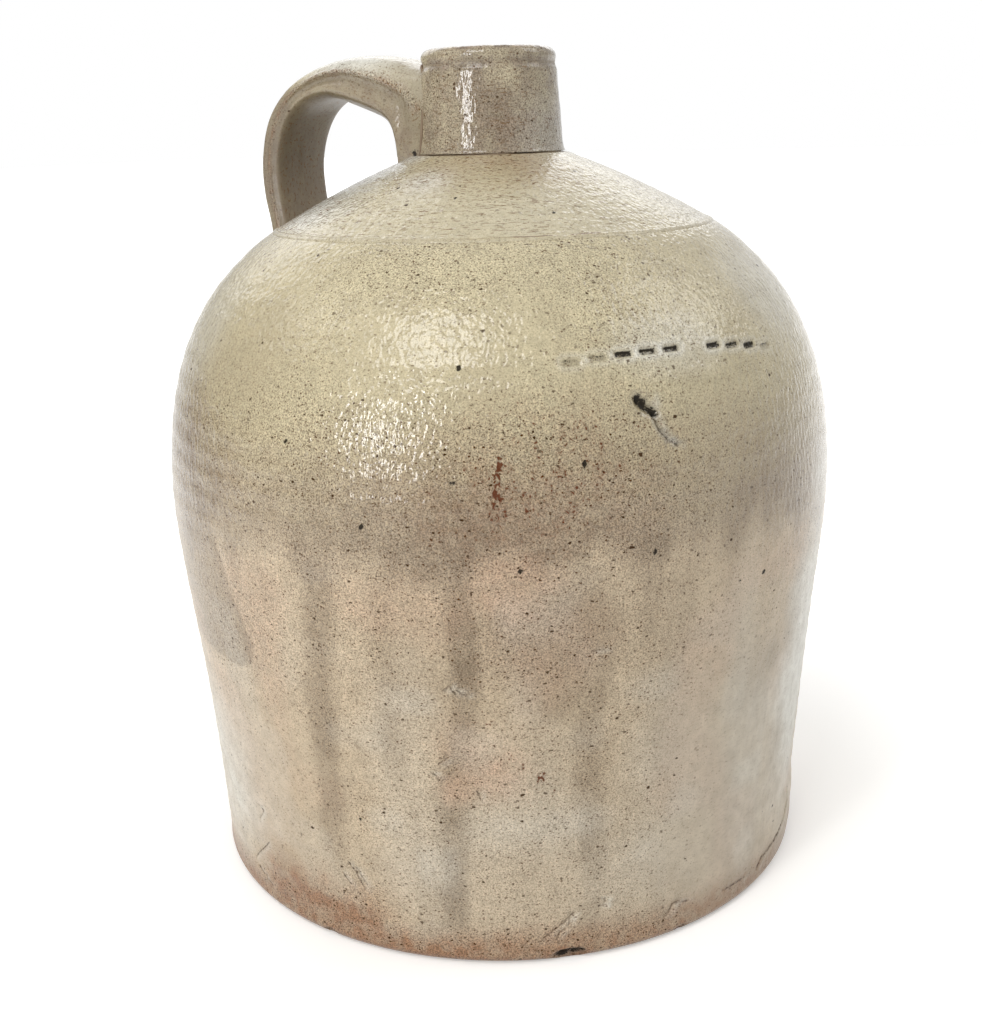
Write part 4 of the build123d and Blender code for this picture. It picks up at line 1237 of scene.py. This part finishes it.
class JUG_OT_pull_handle(bpy.types.Operator):
    """Pulls the strap handle and smooths its upper wad into the neck"""

    bl_idname = "jug.pull_handle"
    bl_label = "Pull Handle"

    def execute(self, context):
        """A section carried along the strap: between the outer and the inner line it is a square with
        rounded corners as wide as the strap, with a crowned outer side and pull marks."""
        outer, inner = strap_lines()
        stations = len(outer)
        share = np.linspace(0, 1, stations)[:, None]
        turns = full_turn(120)
        crown = 7.0 - 3.6 * smooth(0.06, 0.2, share) + 1.2 * smooth(0.45, 0.7, share)
        under = 7.0 - 3.4 * smooth(0.10, 0.25, share)
        rise, side = rounded_square(turns, np.where(np.sin(turns) > 0, crown, under))
        middle = (outer + inner) / 2
        half = (outer - inner) / 2
        along = middle[:, :1] + half[:, :1] * rise
        height = middle[:, 1:] + half[:, 1:] * rise

        # Near the neck each side flares until it meets the neck along its tangent
        neck, meet = neck_meeting(height)
        spread = meet - STRAP_WIDTH / 2
        flare = spread * np.exp(-np.clip(-along - FLARE_REACH, 0, None) * FLARE_REACH / (meet * spread))
        width = STRAP_WIDTH / 2 + 0.3 + flare * smooth(0.5, 0.3, share) + 3.0 * smooth(0.88, 0.99, share)
        width[0] = 0.2
        place = np.stack([along, width * side, height], axis=-1)

        # Pull marks run along the strap, and each side has a ridge, a valley and a roll
        girth = np.linspace(0, STRAP_GIRTH, len(turns)) * np.ones((stations, 1))
        flat = np.stack([girth, 0.12 * np.arange(stations)[:, None] + 0 * girth, 0 * girth], axis=-1)
        pulls = lumps(flat, 2.6, 31) * 0.14 + lumps(flat, 6.5, 32) * 0.22
        broad = lumps(place, 16, 33) * 0.30 + lumps(place, 5, 34) * 0.10
        edge = 0.30 - 0.35 * smooth(0.45, 0.75, share)
        fold = 1.5 * bell(rise - edge, 0.14) - 1.1 * bell(rise - edge + 0.40, 0.22)
        fold = fold + 0.6 * bell(rise - edge + 0.95, 0.25)
        fold = fold * np.sign(side) * smooth(0.75, 0.95, np.abs(side)) * smooth(0.05, 0.15, share)
        fold = fold * (1 - 0.75 * smooth(0.42, 0.60, share))
        outward = unit(np.stack([half[:, :1] * rise, width * side * 0.8, half[:, 1:] * rise], axis=-1))
        grid = place + outward * (pulls + broad + 0.35 * smooth(0.0, 0.6, rise))[..., None]
        grid[..., 1] += fold
        grid[..., 2] = np.minimum(grid[..., 2], RIM_HEIGHT - 0.2)
        reach = np.hypot(grid[..., 0], grid[..., 1])
        grid[..., :2] *= np.maximum(1.0, ROOT_CLEARANCE / reach)[..., None]
        values = self.masks(place, share, rise, side, edge)
        values["grain"] = flat * np.array([3.0, 8.0, 0.0]) * MM
        nodes = ["strap_handle", "handle_upper_wad"]
        make_piece("strap_skin", grid, salt_glaze(), nodes, values)
        self.seal_root()
        return {"FINISHED"}

    def masks(self, place, share, rise, side, edge):
        """The strap's masks: pale ash on the crest as a painted highlight, taupe on the sides and the leg
        with less on the top, so the top is painted lighter, painted shade in the valleys and underneath,
        toasted ridges, and a black spot at the root."""
        drift = lumps(place, 12, 35)
        fray = lumps(place, 3.5, 36)
        ragged = lumps(place, 1.8, 37)
        beneath = smooth(-0.55, -0.90, rise) * smooth(0.10, 0.25, share)
        leg = smooth(0.50, 0.62, share)
        root = smooth(0.24, 0.10, share)
        dull = smooth(0.36, 0.16, share)
        flank = smooth(0.7, 0.9, np.abs(side))
        ridge = bell(rise - edge, 0.16) * flank
        valley = bell(rise - edge + 0.40, 0.22) * flank
        # Less taupe on the top than on the sides paints the top lit and the sides in shade; on the leg and
        # near the root the difference is smaller
        taupe = 0.76 + 0.2 * drift - (0.72 - 0.57 * leg - 0.42 * dull) * smooth(0.20, 0.60, rise) + 0.2 * leg
        # Pale ash on the crest is a painted highlight, fading near the root
        crest = 0.75 * bell(rise - 0.60, 0.3) + 0.5 * smooth(0.6, 0.9, rise)
        ash_and_sheen = 0.08 + crest * smooth(0.58, 0.42, share) * (1 - 0.85 * dull)
        # Smoke underneath and in the valleys is painted shade; it is also darker on the leg and on the top
        # near the root
        shaded = beneath * (0.47 - 0.28 * smooth(0.72, 0.92, share))
        smoke_and_shade = 0.04 + 0.20 * valley + shaded + 0.22 * leg * (1 - beneath)
        smoke_and_shade = smoke_and_shade + 0.12 * root * smooth(-0.3, 0.3, rise)
        toast = 0.35 * ridge * smooth(-0.6, 0.5, ragged + fray)
        pit = 1.1 * bell(np.linalg.norm(place - np.array(ROOT_PIT), axis=-1), 1.6)
        return tones(
            fray.shape, taupe=taupe, ash_and_sheen=ash_and_sheen, smoke_and_shade=smoke_and_shade, toast=toast, iron=0.08 * ridge, char=pit,
            pepper=0.40 - 0.20 * beneath + 0.60 * ridge, gloss=0.7 - 0.5 * beneath - 0.35 * leg,
            dashes=0.35 + 0.3 * fray + 0.5 * beneath + 0.6 * ridge)

    def seal_root(self):
        """The slip that was squeezed out where the strap meets the neck: a thin round bead whose middle
        runs along a rounded oblong, drawn on the neck's cone, and sinks into the clay higher up."""
        rise, side = rounded_square(full_turn(240), 6)
        top = CREST_HEIGHT - 4.6
        low = SEAT_HEIGHT - 3.0
        height = (top + low) / 2 + (top - low) / 2 * rise
        neck, meet = neck_meeting(height)
        across = meet * side
        course = np.stack([-np.sqrt(neck ** 2 - across ** 2), across, height], axis=-1)
        ahead = unit(np.roll(course, -1, axis=0) - np.roll(course, 1, axis=0))
        out = np.stack([course[:, 0], across, 0 * across], axis=-1) / neck[:, None]
        beside = np.cross(ahead, out)[:, None]
        angles = full_turn(12)[:, None]
        thick = ROOT_BEAD + 0.12 * lumps(course, 4, 38)[:, None, None]
        buried = 0.05 + 0.85 * smooth(SEAT_HEIGHT + 8, SEAT_HEIGHT + 22, height)
        buried = buried + 0.25 * lumps(course, 6, 39)
        lift = thick * np.cos(angles) - buried[:, None, None]
        grid = course[:, None] + lift * out[:, None] + thick * np.sin(angles) * beside
        make_piece("root_bead", grid, fired_slip(), ["handle_upper_slip"], {}, ring=True)


class JUG_OT_press_wad(bpy.types.Operator):
    """Presses the wad round the handle's lower end on the shoulder"""

    bl_idname = "jug.press_wad"
    bl_label = "Press Wad"

    def execute(self, context):
        """A pad on the shoulder: rings of a rounded oblong from its middle to its rim and back underneath,
        lifted off the outline by a dome that falls smoothly to the rim."""
        shares = np.concatenate([np.linspace(0.04, 1.0, 30), np.linspace(0.95, 0.1, 6)])[:, None]
        upper = np.concatenate([np.ones(30), np.zeros(6)])[:, None]
        rise, side = rounded_square(full_turn(96), 3.5)
        along = shares * rise * WAD_REACH[0]
        across = shares * side * WAD_REACH[1]
        outline = bend(BELLY_PLACE, SEAM_PLACE, SHOULDER_PULLS, 300)
        travel = travelled(outline)
        row = travel[-1] - STRAP_FOOT_OFFSET - WAD_DROP + along
        ways = unit(np.gradient(outline, axis=0))
        radius, height = (np.interp(row, travel, values) for values in outline.T)
        lean_in, lean_up = (np.interp(row, travel, values) for values in ways.T)
        flat = np.stack([along, across, 0 * along], axis=-1)
        dome = WAD_DOME * (1 - smooth(0.35, 1.0, shares)) * (1 + 0.15 * lumps(flat, 6, 41))
        thumbed = 0.3 * lumps(flat, 3.5, 42) * smooth(1.0, 0.8, shares)
        lift = upper * (dome + thumbed - 0.1) - (1 - upper) * WAD_DEPTH
        angle = across / radius
        radius = radius + lift * lean_up
        grid = np.stack([-radius * np.cos(angle), -radius * np.sin(angle), height - lift * lean_in], axis=-1)
        fray = lumps(grid, 4, 43)
        iron = 0.5 * smooth(0.78, 0.98, shares) * smooth(-0.2, 0.5, fray)
        values = tones(along.shape, taupe=0.5 + 0.25 * fray, iron=iron, gloss=0.7, dashes=0.3)
        values["grain"] = grid * MM
        make_piece("lower_wad_skin", grid, salt_glaze(), ["handle_lower_wad"], values)
        return {"FINISHED"}


class JUG_OT_finish_slips(bpy.types.Operator):
    """Gives the slip bed and the lining, whose shapes are kept, their own finish"""

    bl_idname = "jug.finish_slips"
    bl_label = "Finish Slips"

    def execute(self, context):
        finishes = {
            "handle_lower_slip": fired_slip(),
            "inner_slip_lining": brown_slip_glaze(),
        }
        for node, material in finishes.items():
            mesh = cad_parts[node].data
            mesh.materials.clear()
            mesh.materials.append(material)
        return {"FINISHED"}


# The camera's place, solved together with the outline
CAMERA_REACH = 484.87
CAMERA_HEIGHT = 266.84
CAMERA_PITCH = 16.404
CAMERA_YAW = -0.425
CAMERA_ROLL = -1.723
SENSOR_WIDTH = 36.0

# The lights: bearing and elevation in degrees, distance from the aim, width and height in millimetres
LIGHT_AIM = (0.0, 0.0, 160.0)
WINDOW = (-36.5, 15.0, 1300.0, 190.0, 500.0)
OVERHEAD = (-28.0, 52.0, 1200.0, 520.0, 480.0)
LEFT_STRIP = (-92.0, 42.0, 1200.0, 240.0, 380.0)
RIGHT_STRIP = (92.0, 44.0, 1200.0, 480.0, 560.0)
BACK_PANEL = (-169.0, 34.0, 1400.0, 1900.0, 700.0)

# The floor and the room
WHITE = (1.0, 1.0, 1.0, 1.0)
FLOOR_EDGE = 12.0  # half the floor's width, in metres
WHITE_REACH = (150.0, 520.0)  # from here to there the floor turns from shaded to white
DIM_SIDE = (-0.99, 0.05, 0.12)  # the way to the dimmer side of the room
DIM_REACH = (500.0, 1100.0)  # from here to there the gloss finds the floor dimmer at that side


class JUG_OT_set_stage(bpy.types.Operator):
    """Sets the floor, the lights and the camera"""

    bl_idname = "jug.set_stage"
    bl_label = "Set Stage"

    def execute(self, context):
        studio = context.scene.jug_studio
        self.lay_floor(context)
        self.fill_sky(context, studio)
        self.hang_light(context, "window", WINDOW, studio.window)
        self.hang_light(context, "overhead", OVERHEAD, studio.overhead)
        self.hang_light(context, "left_strip", LEFT_STRIP, studio.side)
        self.hang_light(context, "right_strip", RIGHT_STRIP, studio.side)
        self.hang_light(context, "back_panel", BACK_PANEL, studio.back)
        self.stand_camera(context, studio)
        context.scene.view_settings.view_transform = "Standard"
        return {"FINISHED"}

    def lay_floor(self, context):
        """A wide sheet of matt paper. The camera sees it brighter, up to white, away from the jug, and so
        does the gloss, except far off at the dimmer side of the room."""
        mesh = bpy.data.meshes.new("floor")
        corners = [(x * FLOOR_EDGE, y * FLOOR_EDGE, 0.0) for x, y in ((-1, -1), (1, -1), (1, 1), (-1, 1))]
        mesh.from_pydata(corners, [], [(0, 1, 2, 3)])
        material, tree, shader, add = new_material("studio_paper")
        path = add("LightPath").outputs
        spot = add("TexCoord").outputs["Object"]
        reach = add("VectorMath", {0: spot}, operation="LENGTH").outputs["Value"]
        near, far = WHITE_REACH
        lift = add("MapRange", {0: reach, 1: near * MM, 2: far * MM, 3: 0.30, 4: 1.0})
        way = add("VectorMath", {0: spot}, operation="NORMALIZE")
        toward = add("VectorMath", {0: way, 1: DIM_SIDE}, operation="DOT_PRODUCT").outputs["Value"]
        aside = add("MapRange", {0: toward, 1: 0.6, 2: 0.95})
        near, far = DIM_REACH
        away = add("MapRange", {0: reach, 1: near * MM, 2: far * MM, 4: 0.6})
        dim = add("Math", {0: aside, 1: away}, operation="MULTIPLY")
        seen = path["Is Camera Ray"]
        for ray in ("Is Glossy Ray", "Is Transmission Ray"):
            share = add("Math", {0: path[ray], 1: dim}, operation="SUBTRACT")
            seen = add("Math", {0: seen, 1: share}, operation="MAXIMUM")
        glow = add("Math", {0: seen, 1: lift}, operation="MULTIPLY")
        paper = context.scene.glaze_colours.paper
        feed(tree, shader, {"Base Color": paper, "Roughness": 0.9})
        feed(tree, shader, {"Emission Color": WHITE, "Emission Strength": glow})
        mesh.materials.append(material)
        floor = bpy.data.objects.new("floor", mesh)
        context.scene.collection.objects.link(floor)

    def fill_sky(self, context, studio):
        """Even white light, at full white for what the camera and the gloss see, except that the gloss finds
        one side of the room dimmer."""
        world = bpy.data.worlds.new("studio_sky")
        world.use_nodes = True
        tree = world.node_tree
        add = partial(add_node, tree)
        path = add("LightPath").outputs
        seen = path["Is Camera Ray"]
        for ray in ("Is Glossy Ray", "Is Transmission Ray"):
            seen = add("Math", {0: seen, 1: path[ray]}, operation="MAXIMUM")
        aim = add("TexCoord").outputs["Generated"]
        toward = add("VectorMath", {0: aim, 1: DIM_SIDE}, operation="DOT_PRODUCT").outputs["Value"]
        white = add("MapRange", {0: toward, 1: 0.55, 2: 0.95, 3: 1.0, 4: 0.3})
        white = add("Math", {0: white, 1: path["Is Camera Ray"]}, operation="MAXIMUM")
        strength = add("MapRange", {0: seen, 3: studio.sky, 4: white})
        feed(tree, tree.nodes["Background"], {"Color": WHITE, "Strength": strength})
        context.scene.world = world

    def hang_light(self, context, name, place, glow):
        """A soft rectangular light that faces the jug: its power is pi times its brightness and its area."""
        bearing, elevation, distance, width, height = place
        lamp = bpy.data.lights.new(name, "AREA")
        lamp.shape = "RECTANGLE"
        lamp.size = width * MM
        lamp.size_y = height * MM
        lamp.energy = math.pi * glow * lamp.size * lamp.size_y
        holder = bpy.data.objects.new(name, lamp)
        azimuth = math.radians(bearing + FRONT_BEARING)
        rise = math.radians(elevation)
        back = turned(bearing, math.cos(rise), math.sin(rise))
        right = np.array([math.cos(azimuth), math.sin(azimuth), 0.0])
        self.place(holder, (np.array(LIGHT_AIM) + back * distance) * MM, right, back)
        context.scene.collection.objects.link(holder)

    def stand_camera(self, context, studio):
        """The camera in front of the jug, pitched down and rolled a little."""
        pitch, yaw, roll = (math.radians(a) for a in (CAMERA_PITCH, CAMERA_YAW - FRONT_BEARING, CAMERA_ROLL))
        level_ahead = np.array([math.sin(yaw), math.cos(yaw), 0.0])
        ahead = math.cos(pitch) * level_ahead - math.sin(pitch) * np.array([0.0, 0.0, 1.0])
        level = np.array([math.cos(yaw), -math.sin(yaw), 0.0])
        right = math.cos(roll) * level + math.sin(roll) * np.cross(level, ahead)
        lens = bpy.data.cameras.new("camera")
        lens.lens = studio.lens
        lens.sensor_width = SENSOR_WIDTH
        camera = bpy.data.objects.new("camera", lens)
        self.place(camera, turned(0.0, CAMERA_REACH, CAMERA_HEIGHT) * MM, right, -ahead)
        context.scene.collection.objects.link(camera)
        context.scene.camera = camera

    def place(self, holder, spot, right, back):
        """Stands a lamp or the camera at a spot, with its right side and its back turned these ways."""
        matrix = np.eye(4)
        matrix[:3, 0] = right
        matrix[:3, 1] = np.cross(back, right)
        matrix[:3, 2] = back
        matrix[:3, 3] = spot
        holder.matrix_world = Matrix(matrix.tolist())


class JUG_PT_panel(bpy.types.Panel):
    """The jug's operators and settings"""

    bl_idname = "JUG_PT_panel"
    bl_label = "Stoneware Jug"
    bl_space_type = "VIEW_3D"
    bl_region_type = "UI"
    bl_category = "Jug"

    def draw(self, context):
        column = self.layout.column()
        for step in STEPS:
            column.operator(step.bl_idname)
        for group in (context.scene.jug_relief, context.scene.glaze_colours, context.scene.jug_studio):
            for key in group.bl_rna.properties.keys():
                if key not in {"rna_type", "name"}:
                    column.prop(group, key)


GROUPS = {"jug_relief": JugRelief, "glaze_colours": GlazeColours, "jug_studio": StudioSettings}
STEPS = (
    JUG_OT_throw_body,
    JUG_OT_throw_shoulder,
    JUG_OT_throw_neck,
    JUG_OT_pull_handle,
    JUG_OT_press_wad,
    JUG_OT_finish_slips,
    JUG_OT_set_stage,
)


def register():
    """Adds the settings, the operators and the panel to Blender."""
    for key, group in GROUPS.items():
        bpy.utils.register_class(group)
        setattr(bpy.types.Scene, key, PointerProperty(type=group))
    for step in (*STEPS, JUG_PT_panel):
        bpy.utils.register_class(step)


def unregister():
    """Takes them out again."""
    for step in (JUG_PT_panel, *reversed(STEPS)):
        bpy.utils.unregister_class(step)
    for key, group in GROUPS.items():
        delattr(bpy.types.Scene, key)
        bpy.utils.unregister_class(group)


def main():
    """Registers the add-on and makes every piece."""
    register()
    bpy.ops.jug.throw_body()
    bpy.ops.jug.throw_shoulder()
    bpy.ops.jug.throw_neck()
    bpy.ops.jug.pull_handle()
    bpy.ops.jug.press_wad()
    bpy.ops.jug.finish_slips()
    bpy.ops.jug.set_stage()
    bpy.context.view_layer.update()


if __name__ == "__main__":
    main()
